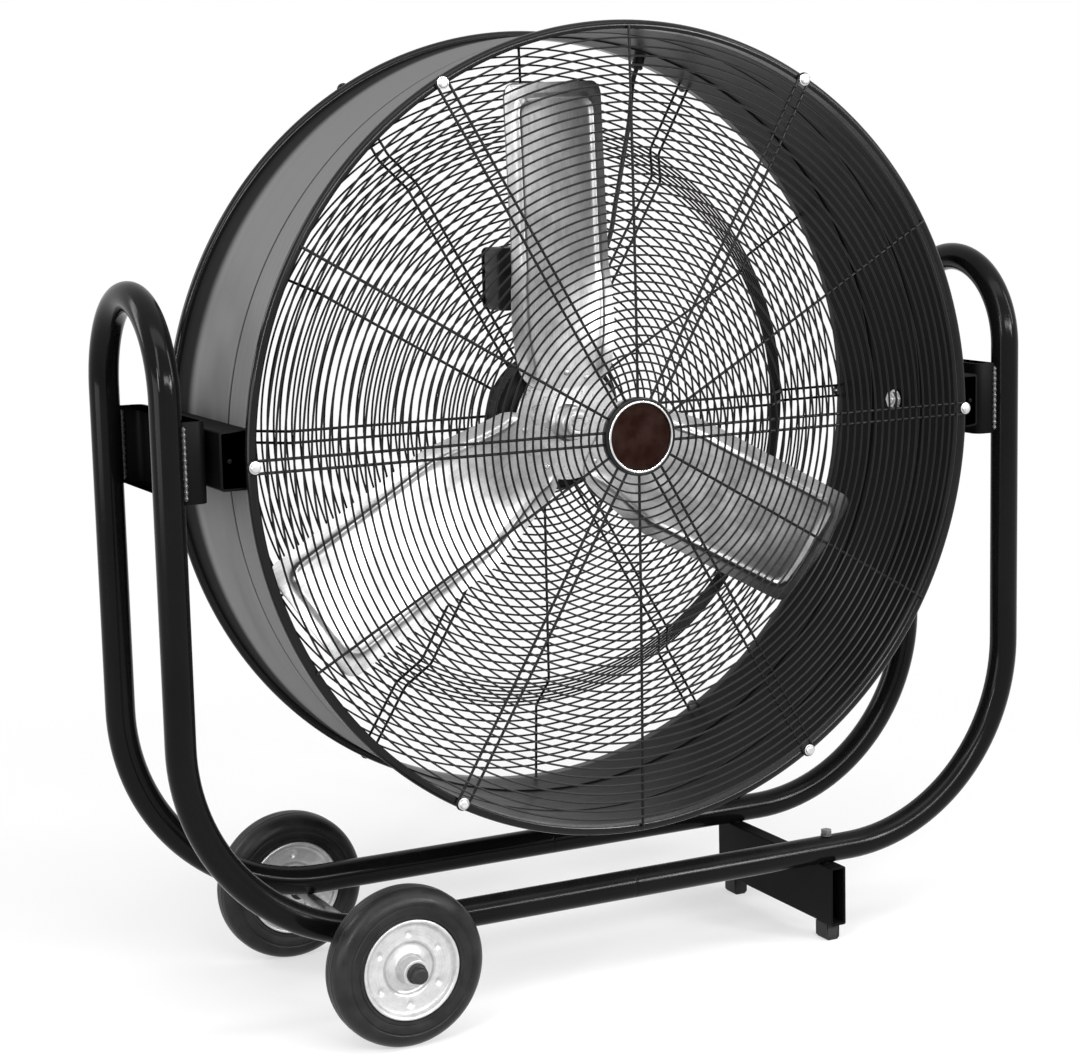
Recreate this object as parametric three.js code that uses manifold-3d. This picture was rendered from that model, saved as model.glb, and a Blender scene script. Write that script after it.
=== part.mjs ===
// A large tilting drum fan on a tubular frame with two wheels and one fixed foot.
// Millimetres, +Z up, the drum's axis along Y with its outlet towards -Y.
// The origin lies on the floor, straight under the centre of the drum.

import * as THREE from 'three';
import { mergeVertices } from 'three/addons/utils/BufferGeometryUtils.js';
import Module from 'manifold-3d';

const wasm = await Module();
wasm.setup();

// ---------------------------------------------------------------- clearances
const CLEAR = 0.3;            // between two pieces that seat on each other
const RUNNING = 0.4;          // round a pin or shaft that turns

// ---------------------------------------------------------------- drum
const DRUM_R = 541;           // outside of the sheet wall
const DRUM_WALL = 2.5;
const DRUM_DEPTH = 324;       // over both rolled rims
const DRUM_SIDES = 38;        // a flat of the facetted wall faces each pivot
const RIM_BEAD_R = 8;         // rolled rim, centred just outside the wall
const GROOVE_Y = 62;          // pressed groove, from mid-depth towards each rim
const GROOVE_DEPTH = 2.2;
const GROOVE_HALF = 4;
const DRUM_TO_RUN = 62.87;    // free height from the runs of the frame to the drum

// ---------------------------------------------------------------- frame
const TUBE_R = 20;
const FRAME_HALF_Y = 127;     // centre line of the front and rear tubes
const RUN_BEND_R = 280;
const BEND_STEPS = 8;         // facets along a quarter bend
const ARCH_CENTRE_Z = 83;     // over the drum's axis
const SPIGOT_R = 16;
const SPIGOT_LENGTH = 60;
const BRACKET_HEIGHT = 104;
const BRACKET_LIFT = 7;       // the bracket's middle over the pivot
const PLATE_T = 5;
const BRACKET_DEPTH = 27;   // from the bracket's web to the uprights
const BRACKET_CORNER_R = 9;

// ---------------------------------------------------------------- pivots
const PIVOT_R = 8;
const PIVOT_HEAD_R = 13;
const PIVOT_HEAD_T = 9;
const WASHER_R = 24;
const WASHER_T = 9.1;
const SADDLE_HEIGHT = 76;
const SADDLE_LIFT = 8;        // the saddle's middle over the pivot
const SADDLE_T = 4;
const SADDLE_END_GAP = 1.7;   // from the saddle's ends to the rolled rims
const SADDLE_STAND = 40;      // from the drum wall to the saddle's face
const PIVOT_NUT_T = 9;

// ---------------------------------------------------------------- wheels and axle
const WHEEL_R = 107;
const TYRE_WIDTH = 54;
const TYRE_SHOULDER_R = 22;
const RIM_INSET = 1.5;        // from the tyre's side to the rim's edge
const RIM_R = 67;
const BUSH_R = 13.5;
const AXLE_R = 8;
const AXLE_PAST_BEND = 18;    // the axle lies this far beyond the start of the bend
const WHEEL_Y = 208;          // middle of each tyre
const BUSH_LENGTH = 80;
const HUB_LENGTH = 79;
const CAP_R = 13;
const CAP_LENGTH = 14;        // past the end of the bush
const CAP_WALL = 3;

// ---------------------------------------------------------------- foot
const FOOT_BEFORE_BEND = 38;
const FOOT_WIDTH = 25;
const FOOT_LENGTH = 316;
const FOOT_WALL = 3;
const PAD_T = 26;
const PAD_LENGTH = 30;
const PAD_WIDTH = 23;
const PAD_SETBACK = 14;       // from the channel's end to the pad
const PAD_CHAMFER = 4;
const FOOT_BOLT_R = 5;
const FOOT_BOLT_HEAD_R = 8.5;
const FOOT_BOLT_HEAD_T = 9;

// ---------------------------------------------------------------- guards
const RING_WIRE_R = 1.5;
const SPOKE_W = 4;
const RING_COUNT = 4;
const RING_WELD = 0.8;       // how far a ring sinks into the spokes it is welded to
const GUARD_HUB_R = 53;
const FRONT_RISE = 7;
const PAIR_GAP = 16;          // between the two wires of a double spoke
const PAIR_COUNT = 6;
const STEP_INSET = 109;       // the rear guard's centre is set back inside the drum
const STEP_WIDTH = 45;
const STEP_DEPTH = 44;
const STEP_FALL = 6;          // fall of the rear guard between its rim and the step
const BADGE_R = 45;
const BADGE_RING_R = 49;
const SCREW_R = 3;
const SCREW_HEAD_R = 8;
const SCREW_HEAD_T = 5;
const SCREW_DEPTH = 7;

// ---------------------------------------------------------------- motor and rotor
const MOTOR_R = 100;
const MOTOR_LENGTH = 52;
const MOTOR_PLATE_R = 78;
const MOTOR_PLATE_T = 4;
const SHAFT_R = 9;
const FRONT_BELL_DEPTH = 17;
const HUB_R = 82;
const HUB_T = 4;
const HUB_BOSS_R = 22;
const HUB_BOSS_LENGTH = 30;
const BLADE_COUNT = 3;
const BLADE_TIP_GAP = 62.5;   // from the blade's tip to the drum's inner wall
const BLADE_ROOT_R = 50;
const BLADE_WIDTH = 190;
const BLADE_ROOT_WIDTH = 136;
const BLADE_T = 2.5;
const BLADE_RIB = 4;
const BLADE_PITCH = 18;       // degrees, past the twist
const BLADE_TWIST = [0.1, 0.42];  // shares of the blade's length over which it twists
const BLADE_CAMBER = 7;
const BLADE_PHASE = -1.7;     // degrees, where the rotor stands at rest
const RIVET_R = 4.5;

// ---------------------------------------------------------------- switch box and lead
const BOX_X = -22;
const BOX_Z = 204;
const BOX_WIDTH = 132;
const BOX_HEIGHT = 88;
const BOX_DEPTH = 44;
const COVER_T = 2.5;
const KNOB_R = 17;
const KNOB_T = 16;
const LEAD_R = 3.5;
const LEAD_ANGLE = 18.6;      // degrees from the top of the drum to the lead's gland
const LEAD_GLAND_Y = 118;
const LEAD_BOW = 29;          // sideways bow of the lead between its gland and the switch box
const GLAND_R = 8;

// ---------------------------------------------------------------- derived places
const HALF_DEPTH = DRUM_DEPTH / 2;
const BEAD_CENTRE_R = DRUM_R + RIM_BEAD_R / 4;
const GUARD_R = BEAD_CENTRE_R;
const STEP_OUTER_R = GUARD_R - STEP_INSET;
const STEP_INNER_R = STEP_OUTER_R - STEP_WIDTH;
// The axle lies under the tubes just where they start to bend, so it seats that much higher.
const SEAT_RISE = AXLE_PAST_BEND * Math.tan(Math.PI / 4 / BEND_STEPS);
const RUN_Z = WHEEL_R + AXLE_R + CLEAR + TUBE_R - SEAT_RISE;
const AXIS_Z = RUN_Z + TUBE_R + DRUM_TO_RUN + BEAD_CENTRE_R + RIM_BEAD_R;
const INNER_R = DRUM_R - DRUM_WALL;
const BLADE_TIP_R = INNER_R - BLADE_TIP_GAP;
const INNER_FLAT = INNER_R * Math.cos(Math.PI / DRUM_SIDES);
const GUARD_SEAT = HALF_DEPTH + CLEAR + SPOKE_W / 2;
const RING_OFFSET = SPOKE_W / 2 + RING_WIRE_R - RING_WELD;
const REAR_CENTRE_Y = GUARD_SEAT - STEP_FALL - STEP_DEPTH;
const MOTOR_PLATE_Y = REAR_CENTRE_Y - SPOKE_W / 2 - CLEAR;
const MOTOR_REAR_Y = MOTOR_PLATE_Y - MOTOR_PLATE_T - CLEAR;
const MOTOR_FRONT_Y = MOTOR_REAR_Y - MOTOR_LENGTH;
const HUB_Y = MOTOR_FRONT_Y - FRONT_BELL_DEPTH - CLEAR;
const SADDLE_X = DRUM_R + SADDLE_STAND;
const SADDLE_HALF_Y = HALF_DEPTH - 2 * RIM_BEAD_R - SADDLE_END_GAP;
const BRACKET_WEB_X = SADDLE_X + WASHER_T + PLATE_T + 2 * CLEAR;
const FRAME_HALF_X = BRACKET_WEB_X + BRACKET_DEPTH + CLEAR + TUBE_R;
const BEND_START_X = FRAME_HALF_X - RUN_BEND_R;
const WHEEL_X = -BEND_START_X - AXLE_PAST_BEND;
const FOOT_X = BEND_START_X - FOOT_BEFORE_BEND;
const DEG = Math.PI / 180;

// ---------------------------------------------------------------- materials
const paint = (color, roughness, metalness) => new THREE.MeshStandardMaterial({ color, roughness, metalness });
const blackPaint = paint(0x151515, 0.28, 0.0);
const drumPaint = paint(0x232323, 0.3, 0.0);
const wirePaint = paint(0x121212, 0.35, 0.0);
const bladeMetal = paint(0xb9b9bb, 0.38, 1.0);
const zinc = paint(0xc9cacc, 0.35, 1.0);
const chrome = paint(0xd5d6d8, 0.18, 1.0);
const tyreRubber = paint(0x2e2e2e, 0.85, 0.0);
const padRubber = paint(0x1d1d1d, 0.9, 0.0);
const wheelSteel = paint(0xd0d0d0, 0.4, 0.9);
const motorPaint = paint(0x1a1a1a, 0.5, 0.1);
const blackPlastic = paint(0x17171a, 0.55, 0.0);
const badgePlastic = paint(0x24140f, 0.35, 0.0);
const leadSheath = paint(0x111111, 0.6, 0.0);

// ---------------------------------------------------------------- solids
function signedVolume(geometry) {
  const p = geometry.attributes.position;
  const index = geometry.index.array;
  const a = new THREE.Vector3();
  const b = new THREE.Vector3();
  const c = new THREE.Vector3();
  let sum = 0;
  for (let i = 0; i < index.length; i += 3) {
    a.fromBufferAttribute(p, index[i]);
    b.fromBufferAttribute(p, index[i + 1]);
    c.fromBufferAttribute(p, index[i + 2]);
    sum += a.dot(b.cross(c)) / 6;
  }
  return sum;
}

// A closed geometry with shared vertices and its faces pointing out.
function closed(geometry) {
  const bare = geometry.clone();
  bare.deleteAttribute('normal');
  bare.deleteAttribute('uv');
  const merged = mergeVertices(bare, 1e-4);
  if (signedVolume(merged) < 0) {
    const index = merged.index.array;
    for (let i = 0; i < index.length; i += 3) {
      [index[i], index[i + 1]] = [index[i + 1], index[i]];
    }
  }
  return merged;
}

function toManifold(geometry) {
  const merged = closed(geometry);
  return new wasm.Manifold(new wasm.Mesh({
    numProp: 3,
    vertProperties: new Float32Array(merged.attributes.position.array),
    triVerts: new Uint32Array(merged.index.array),
  }));
}

function fromManifold(solid) {
  const mesh = solid.getMesh();
  const geometry = new THREE.BufferGeometry();
  geometry.setAttribute('position', new THREE.Float32BufferAttribute(mesh.vertProperties, 3));
  geometry.setIndex(new THREE.Uint32BufferAttribute(mesh.triVerts, 1));
  return geometry;
}

function join(geometries) {
  return fromManifold(geometries.map(toManifold).reduce((all, next) => all.add(next)));
}

function cut(geometry, tools) {
  return fromManifold(tools.map(toManifold).reduce((all, next) => all.subtract(next), toManifold(geometry)));
}

// A round bar along Y, X or Z between two coordinates on that axis.
function barY(radius, from, to, sides = 20) {
  const bar = new THREE.CylinderGeometry(radius, radius, Math.abs(to - from), sides);
  return bar.translate(0, (from + to) / 2, 0);
}

function barX(radius, from, to, sides = 20) {
  const bar = new THREE.CylinderGeometry(radius, radius, Math.abs(to - from), sides);
  return bar.rotateZ(Math.PI / 2).translate((from + to) / 2, 0, 0);
}

function barZ(radius, from, to, sides = 20) {
  const bar = new THREE.CylinderGeometry(radius, radius, Math.abs(to - from), sides);
  return bar.rotateX(Math.PI / 2).translate(0, 0, (from + to) / 2);
}

function box(x0, x1, y0, y1, z0, z1) {
  const block = new THREE.BoxGeometry(Math.abs(x1 - x0), Math.abs(y1 - y0), Math.abs(z1 - z0));
  return block.translate((x0 + x1) / 2, (y0 + y1) / 2, (z0 + z1) / 2);
}

// A ring turned about Y from a closed profile of [radius, y] pairs.
function turned(profile, segments) {
  const loop = profile.map(([r, y]) => new THREE.Vector2(r, y));
  loop.push(loop[0].clone());
  return new THREE.LatheGeometry(loop, segments);
}

// Points of an arc of a turned profile, from one angle to another in degrees.
function arc(r, y, radius, from, to, steps) {
  const points = [];
  for (let i = 0; i <= steps; i += 1) {
    const angle = (from + (to - from) * i / steps) * DEG;
    points.push([r + radius * Math.cos(angle), y + radius * Math.sin(angle)]);
  }
  return points;
}

// Unit direction from the drum's axis at a clock angle in degrees, seen from the front.
function clock(angle) {
  return [Math.sin(angle * DEG), Math.cos(angle * DEG)];
}

// ---------------------------------------------------------------- tube paths
// A curve through corners with round bends, sampled only where it bends.
class BentPath extends THREE.Curve {
  constructor(corners, bends, stepsPerBend) {
    super();
    this.stations = [];
    const push = (point, tangent) => this.stations.push([point.clone(), tangent.clone().normalize()]);
    const legs = corners.slice(1).map((corner, i) => corner.clone().sub(corners[i]).normalize());
    push(corners[0], legs[0]);
    for (let i = 1; i < corners.length - 1; i += 1) {
      const before = legs[i - 1];
      const after = legs[i];
      const turn = before.angleTo(after);
      const reach = bends[i - 1] * Math.tan(turn / 2);
      const start = corners[i].clone().addScaledVector(before, -reach);
      const side = after.clone().addScaledVector(before, -after.dot(before)).normalize();
      const centre = start.clone().addScaledVector(side, bends[i - 1]);
      for (let k = 0; k <= stepsPerBend; k += 1) {
        const angle = turn * k / stepsPerBend;
        const point = centre.clone()
          .addScaledVector(side, -bends[i - 1] * Math.cos(angle))
          .addScaledVector(before, bends[i - 1] * Math.sin(angle));
        const tangent = before.clone().multiplyScalar(Math.cos(angle)).addScaledVector(side, Math.sin(angle));
        const last = this.stations[this.stations.length - 1][0];
        if (last.distanceTo(point) > CLEAR) {
          push(point, tangent);
        }
      }
    }
    push(corners[corners.length - 1], legs[legs.length - 1]);
    this.steps = this.stations.length - 1;
  }

  getPoint(t) {
    const place = Math.min(Math.max(t, 0), 1) * this.steps;
    const i = Math.min(Math.floor(place), this.steps - 1);
    return this.stations[i][0].clone().lerp(this.stations[i + 1][0], place - i);
  }

  getPointAt(u) {
    return this.getPoint(u);
  }

  getTangentAt(u) {
    return this.stations[Math.round(u * this.steps)][1].clone();
  }
}

function bentTube(path, radius, sides) {
  const section = new THREE.Shape();
  section.absarc(0, 0, radius, 0, 2 * Math.PI, false);
  return new THREE.ExtrudeGeometry(section, {
    steps: path.steps, extrudePath: path, curveSegments: sides / 2, bevelEnabled: false,
  });
}

// ---------------------------------------------------------------- assembly helper
const fan = new THREE.Group();

function place(parent, name, geometry, material) {
  const mesh = new THREE.Mesh(closed(geometry), material);
  mesh.name = name;
  parent.add(mesh);
  return mesh;
}

// ---------------------------------------------------------------- frame
// Half of the frame: along the front run, up, over the handle arch, down and back along the rear run.
function frameHalf(side) {
  const v = (x, y, z) => new THREE.Vector3(x * side, y, z);
  const top = AXIS_Z + ARCH_CENTRE_Z + FRAME_HALF_Y;
  const seam = CLEAR / 2;
  const corners = [
    v(seam, -FRAME_HALF_Y, RUN_Z),
    v(FRAME_HALF_X, -FRAME_HALF_Y, RUN_Z),
    v(FRAME_HALF_X, -FRAME_HALF_Y, top),
    v(FRAME_HALF_X, FRAME_HALF_Y, top),
    v(FRAME_HALF_X, FRAME_HALF_Y, RUN_Z),
    v(seam, FRAME_HALF_Y, RUN_Z),
  ];
  const bends = [RUN_BEND_R, FRAME_HALF_Y, FRAME_HALF_Y, RUN_BEND_R];
  return bentTube(new BentPath(corners, bends, BEND_STEPS), TUBE_R, 12);
}

function spigots(radius, length) {
  return [-1, 1].map((y) => barX(radius, -TUBE_R, length, 14).translate(0, y * FRAME_HALF_Y, RUN_Z));
}

function footBoltHole(y, radius) {
  return barZ(radius, RUN_Z - 2 * TUBE_R, RUN_Z + 2 * TUBE_R, 10).translate(FOOT_X, y, 0);
}

place(fan, 'frame_left', join([frameHalf(-1), ...spigots(SPIGOT_R, SPIGOT_LENGTH)]), blackPaint);
place(fan, 'frame_right', cut(frameHalf(1), [
  ...[-1, 1].map((y) => barX(SPIGOT_R + CLEAR, -TUBE_R, SPIGOT_LENGTH + CLEAR, 14)
    .translate(0, y * FRAME_HALF_Y, RUN_Z)),
  footBoltHole(-FRAME_HALF_Y, FOOT_BOLT_R + CLEAR),
  footBoltHole(FRAME_HALF_Y, FOOT_BOLT_R + CLEAR),
]), blackPaint);

// A channel whose flanges reach from the uprights in to a web beside the drum.
function pivotBracket(side) {
  const outer = FRAME_HALF_X - TUBE_R - CLEAR;
  const web = BRACKET_WEB_X;
  const y = FRAME_HALF_Y;
  const r = BRACKET_CORNER_R;
  const outline = new THREE.Shape();
  outline.moveTo(outer, -y - PLATE_T / 2);
  outline.lineTo(outer, -y + PLATE_T / 2);
  outline.lineTo(web + r, -y + PLATE_T / 2);
  outline.absarc(web + r, -y + PLATE_T / 2 + r, r, -Math.PI / 2, Math.PI, true);
  outline.lineTo(web, y - PLATE_T / 2 - r);
  outline.absarc(web + r, y - PLATE_T / 2 - r, r, Math.PI, Math.PI / 2, true);
  outline.lineTo(outer, y - PLATE_T / 2);
  outline.lineTo(outer, y + PLATE_T / 2);
  outline.lineTo(web + r, y + PLATE_T / 2);
  outline.absarc(web + r, y - PLATE_T / 2 - r, r + PLATE_T, Math.PI / 2, Math.PI, false);
  outline.lineTo(web - PLATE_T, -y + PLATE_T / 2 + r);
  outline.absarc(web + r, -y + PLATE_T / 2 + r, r + PLATE_T, Math.PI, Math.PI * 1.5, false);
  outline.lineTo(outer, -y - PLATE_T / 2);
  const channel = new THREE.ExtrudeGeometry(outline, { depth: BRACKET_HEIGHT, curveSegments: 4, bevelEnabled: false });
  channel.translate(0, 0, BRACKET_LIFT - BRACKET_HEIGHT / 2);
  const drilled = cut(channel, [barX(PIVOT_R + CLEAR, web - 3 * PLATE_T, web + 3 * PLATE_T, 16)]);
  if (side < 0) {
    drilled.rotateZ(Math.PI);
  }
  return drilled.translate(0, 0, AXIS_Z);
}

for (const [word, side] of [['left', -1], ['right', 1]]) {
  place(fan, `pivot_bracket_${word}`, pivotBracket(side), blackPaint);
}

// ---------------------------------------------------------------- pivot bolts
// The bolt's head lies outside the bracket's web and its nut inside the drum.
function pivotBolt(side) {
  const inner = INNER_FLAT - CLEAR - PIVOT_NUT_T - 2;
  const headFrom = BRACKET_WEB_X + CLEAR;
  const head = barX(PIVOT_HEAD_R, headFrom, headFrom + PIVOT_HEAD_T, 6);
  const bolt = join([barX(PIVOT_R, inner, headFrom + 1, 16), head]);
  return bolt.rotateZ(side < 0 ? Math.PI : 0).translate(0, 0, AXIS_Z);
}

function pivotNut(side) {
  const outer = INNER_FLAT - CLEAR;
  const nut = cut(barX(PIVOT_HEAD_R, outer - PIVOT_NUT_T, outer, 6),
    [barX(PIVOT_R + CLEAR, outer - 2 * PIVOT_NUT_T, outer + PIVOT_NUT_T, 16)]);
  return nut.rotateZ(side < 0 ? Math.PI : 0).translate(0, 0, AXIS_Z);
}

function pivotWasher(side) {
  const from = SADDLE_X + CLEAR;
  const to = from + WASHER_T;
  const washer = cut(barX(WASHER_R, from, to, 16), [barX(PIVOT_R + RUNNING, from - 2, to + 2, 12)]);
  return washer.rotateZ(side < 0 ? Math.PI : 0).translate(0, 0, AXIS_Z);
}

for (const [word, side] of [['left', -1], ['right', 1]]) {
  place(fan, `pivot_bolt_${word}`, pivotBolt(side), zinc);
  place(fan, `pivot_nut_${word}`, pivotNut(side), zinc);
  place(fan, `pivot_washer_${word}`, pivotWasher(side), padRubber);
}

// ---------------------------------------------------------------- axle and wheels
const AXLE_END = WHEEL_Y + BUSH_LENGTH / 2 + CAP_LENGTH;

const axle = place(fan, 'axle', barY(AXLE_R, -AXLE_END + CAP_WALL + CLEAR, AXLE_END - CAP_WALL - CLEAR, 20), zinc);
axle.position.set(WHEEL_X, 0, WHEEL_R);

// Section of the tyre: a rounded tread, two side walls and the seat on the wheel.
function tyreProfile() {
  const half = TYRE_WIDTH / 2;
  const seat = RIM_R + CLEAR;
  const shoulder = TYRE_SHOULDER_R;
  return [
    [seat, -half + 8],
    [seat + 6, -half + 1],
    ...arc(WHEEL_R - shoulder, -half + shoulder, shoulder, -90, -18, 2),
    [WHEEL_R, 0],
    ...arc(WHEEL_R - shoulder, half - shoulder, shoulder, 18, 90, 2),
    [seat + 6, half - 1],
    [seat, half - 8],
  ];
}

// Pressed steel wheel: flanged rim, dished disc and a hub round the bush.
function wheelProfile() {
  const half = TYRE_WIDTH / 2 - RIM_INSET;
  const end = HUB_LENGTH / 2;
  const wall = 3;
  return [
    [BUSH_R + CLEAR, -end], [BUSH_R + 4, -end], [BUSH_R + 8, -14], [RIM_R * 0.55, -10],
    [RIM_R * 0.72, -18], [RIM_R - wall - 4, -18], [RIM_R - wall, -half], [RIM_R, -half],
    [RIM_R, half], [RIM_R - wall, half], [RIM_R - wall - 4, 18], [RIM_R * 0.72, 18],
    [RIM_R * 0.55, 10], [BUSH_R + 8, 14], [BUSH_R + 4, end], [BUSH_R + CLEAR, end],
  ];
}

for (const [word, side] of [['front', -1], ['rear', 1]]) {
  const hub = new THREE.Group();
  hub.position.set(WHEEL_X, side * WHEEL_Y, WHEEL_R);
  fan.add(hub);
  place(hub, `tyre_${word}`, turned(tyreProfile(), 24), tyreRubber);
  place(hub, `wheel_${word}`, turned(wheelProfile(), 24), wheelSteel);
  const half = BUSH_LENGTH / 2;
  place(hub, `wheel_bush_${word}`, turned([[AXLE_R + RUNNING, -half], [BUSH_R, -half], [BUSH_R, half],
    [AXLE_R + RUNNING, half]], 20), blackPlastic);
  const inner = side * (half + CLEAR);
  const outer = side * (half + CAP_LENGTH);
  const shell = turned([[AXLE_R + CLEAR, inner], [CAP_R, inner], [CAP_R, outer - side * CAP_WALL],
    [CAP_R - CAP_WALL, outer], [0, outer], [0, outer - side * CAP_WALL],
    [AXLE_R + CLEAR, outer - side * CAP_WALL]], 14);
  place(hub, `axle_cap_${word}`, shell, blackPlastic);
}

// ---------------------------------------------------------------- foot
const FOOT_TOP = RUN_Z - TUBE_R - CLEAR;
const FOOT_BOTTOM = PAD_T;

function footChannel() {
  const x = FOOT_WIDTH / 2;
  const y = FOOT_LENGTH / 2;
  const hollow = box(-x + FOOT_WALL, x - FOOT_WALL, -y - 1, y + 1, FOOT_BOTTOM + FOOT_WALL, FOOT_TOP - FOOT_WALL);
  const holes = [-1, 1].map((side) => barZ(FOOT_BOLT_R + CLEAR, FOOT_TOP - 2 * FOOT_WALL, FOOT_TOP + 1, 10)
    .translate(0, side * FRAME_HALF_Y, 0));
  return cut(box(-x, x, -y, y, FOOT_BOTTOM, FOOT_TOP), [hollow, ...holes]);
}

// The bolt drops through the tube and the foot's top wall, and its nut is held under that wall.
function footBolt() {
  const headFrom = RUN_Z + TUBE_R + CLEAR;
  const nutTop = FOOT_TOP - FOOT_WALL - CLEAR;
  return join([
    barZ(FOOT_BOLT_HEAD_R, headFrom, headFrom + FOOT_BOLT_HEAD_T, 6),
    barZ(FOOT_BOLT_R, nutTop - FOOT_BOLT_HEAD_T - 3, headFrom + 1, 10),
    barZ(FOOT_BOLT_HEAD_R, nutTop - FOOT_BOLT_HEAD_T, nutTop, 6),
  ]);
}

// A block under the channel, set back from its end, its lower edges chamfered.
function footPad(side) {
  const x = PAD_WIDTH / 2;
  const outline = new THREE.Shape();
  outline.moveTo(-x + PAD_CHAMFER, 0);
  outline.lineTo(x - PAD_CHAMFER, 0);
  outline.lineTo(x, PAD_CHAMFER);
  outline.lineTo(x, FOOT_BOTTOM - CLEAR);
  outline.lineTo(-x, FOOT_BOTTOM - CLEAR);
  outline.lineTo(-x, PAD_CHAMFER);
  outline.closePath();
  const pad = new THREE.ExtrudeGeometry(outline, { depth: PAD_LENGTH, bevelEnabled: false }).rotateX(Math.PI / 2);
  const end = FOOT_LENGTH / 2 - PAD_SETBACK;
  return pad.translate(0, side > 0 ? end : PAD_LENGTH - end, 0);
}

const foot = new THREE.Group();
foot.position.set(FOOT_X, 0, 0);
fan.add(foot);
place(foot, 'foot_channel', footChannel(), blackPaint);
for (const [word, side] of [['front', -1], ['rear', 1]]) {
  place(foot, `foot_pad_${word}`, footPad(side), padRubber);
  const bolt = place(foot, `foot_bolt_${word}`, footBolt(), zinc);
  bolt.position.set(0, side * FRAME_HALF_Y, 0);
}

// ---------------------------------------------------------------- drum shell
const drum = new THREE.Group();
drum.position.set(0, 0, AXIS_Z);
fan.add(drum);

// Half of the wall's section, from mid-depth to one rolled rim, as outside then inside points.
function shellProfile() {
  const beadY = HALF_DEPTH - RIM_BEAD_R;
  const meet = Math.acos((DRUM_R - BEAD_CENTRE_R) / RIM_BEAD_R) / DEG;
  const meetInner = Math.acos((INNER_R - BEAD_CENTRE_R) / RIM_BEAD_R) / DEG;
  const groove = (y, side) => [
    [DRUM_R, y - side * GROOVE_HALF], [DRUM_R - GROOVE_DEPTH, y], [DRUM_R, y + side * GROOVE_HALF],
  ];
  const grooveIn = (y, side) => [
    [INNER_R, y - side * GROOVE_HALF], [INNER_R - GROOVE_DEPTH, y], [INNER_R, y + side * GROOVE_HALF],
  ];
  return [
    ...groove(-GROOVE_Y, 1), ...groove(GROOVE_Y, 1),
    ...arc(BEAD_CENTRE_R, beadY, RIM_BEAD_R, -meet, meetInner, 4),
    ...grooveIn(GROOVE_Y, -1), ...grooveIn(-GROOVE_Y, -1),
    ...arc(BEAD_CENTRE_R, -beadY, RIM_BEAD_R, -meetInner, meet, 4),
  ];
}

// Holes for the screws of both guards, the two pivot bolts and the lead's gland.
function shellHoles() {
  const holes = [];
  for (let i = 0; i < PAIR_COUNT; i += 1) {
    const [x, z] = clock(pairAngle(i));
    for (const side of [-1, 1]) {
      const from = side * (HALF_DEPTH - SCREW_DEPTH - CLEAR);
      const hole = barY(SCREW_R + CLEAR, from, side * (HALF_DEPTH + 1), 6);
      holes.push(hole.translate(x * GUARD_R, 0, z * GUARD_R));
    }
  }
  holes.push(barX(PIVOT_R + RUNNING, -DRUM_R - 2 * RIM_BEAD_R, DRUM_R + 2 * RIM_BEAD_R, 16));
  holes.push(radialBar(GLAND_R + CLEAR, INNER_R - 10, DRUM_R + 10, 12));
  return holes;
}

function radialBar(radius, from, to, sides) {
  return barZ(radius, from, to, sides).rotateY(LEAD_ANGLE * DEG).translate(0, LEAD_GLAND_Y, 0);
}

function pairAngle(i) {
  return 30 + i * 360 / PAIR_COUNT;
}

place(drum, 'drum_shell', cut(turned(shellProfile(), DRUM_SIDES), shellHoles()), drumPaint);

// A box on each side of the drum, open towards it, that takes the pivot bolt.
function drumSaddle(side) {
  const top = SADDLE_LIFT + SADDLE_HEIGHT / 2;
  const base = SADDLE_LIFT - SADDLE_HEIGHT / 2;
  const y = SADDLE_HALF_Y;
  const block = box(DRUM_R - 2 * SADDLE_T, SADDLE_X, -y, y, base, top);
  const hollow = box(0, SADDLE_X - SADDLE_T, -y + SADDLE_T, y - SADDLE_T, base + SADDLE_T, top - SADDLE_T);
  const wall = barY(DRUM_R + CLEAR, -HALF_DEPTH, HALF_DEPTH, 180);
  const saddle = cut(block, [hollow, wall, barX(PIVOT_R + RUNNING, 0, SADDLE_X + 1, 16)]);
  return saddle.rotateZ(side < 0 ? Math.PI : 0);
}

place(drum, 'drum_saddle_left', drumSaddle(-1), blackPaint);
place(drum, 'drum_saddle_right', drumSaddle(1), blackPaint);

// ---------------------------------------------------------------- guards
function frontHeight(r) {
  return -GUARD_SEAT - FRONT_RISE * (1 - (r / GUARD_R) ** 2);
}

// Points [radius, y] of a spoke of the rear guard, with its two kinks.
function rearSpokePoints() {
  return [
    [GUARD_HUB_R - 6, REAR_CENTRE_Y], [STEP_INNER_R, REAR_CENTRE_Y],
    [STEP_OUTER_R, GUARD_SEAT - STEP_FALL], [GUARD_R, GUARD_SEAT],
  ];
}

function frontSpokePoints() {
  const points = [];
  const steps = 3;
  for (let i = 0; i <= steps; i += 1) {
    const r = GUARD_HUB_R - 6 + (GUARD_R - GUARD_HUB_R + 6) * i / steps;
    points.push([r, frontHeight(r)]);
  }
  return points;
}

function rearHeight(r) {
  const points = rearSpokePoints();
  for (let i = 1; i < points.length; i += 1) {
    const [r0, y0] = points[i - 1];
    const [r1, y1] = points[i];
    if (r <= r1) {
      return y0 + (y1 - y0) * (r - r0) / (r1 - r0);
    }
  }
  return points[points.length - 1][1];
}

// A spoke of square wire, bent in the plane through the drum's axis.
function spoke(points, angle, offset) {
  const outline = new THREE.Shape();
  const half = SPOKE_W / 2;
  const upper = points.map(([r, y]) => new THREE.Vector2(r, y + half));
  const lower = points.map(([r, y]) => new THREE.Vector2(r, y - half)).reverse();
  outline.setFromPoints([...upper, ...lower]);
  const wire = new THREE.ExtrudeGeometry(outline, { depth: SPOKE_W, bevelEnabled: false });
  wire.translate(0, 0, offset - SPOKE_W / 2);
  return wire.rotateY((angle - 90) * DEG);
}

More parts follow.
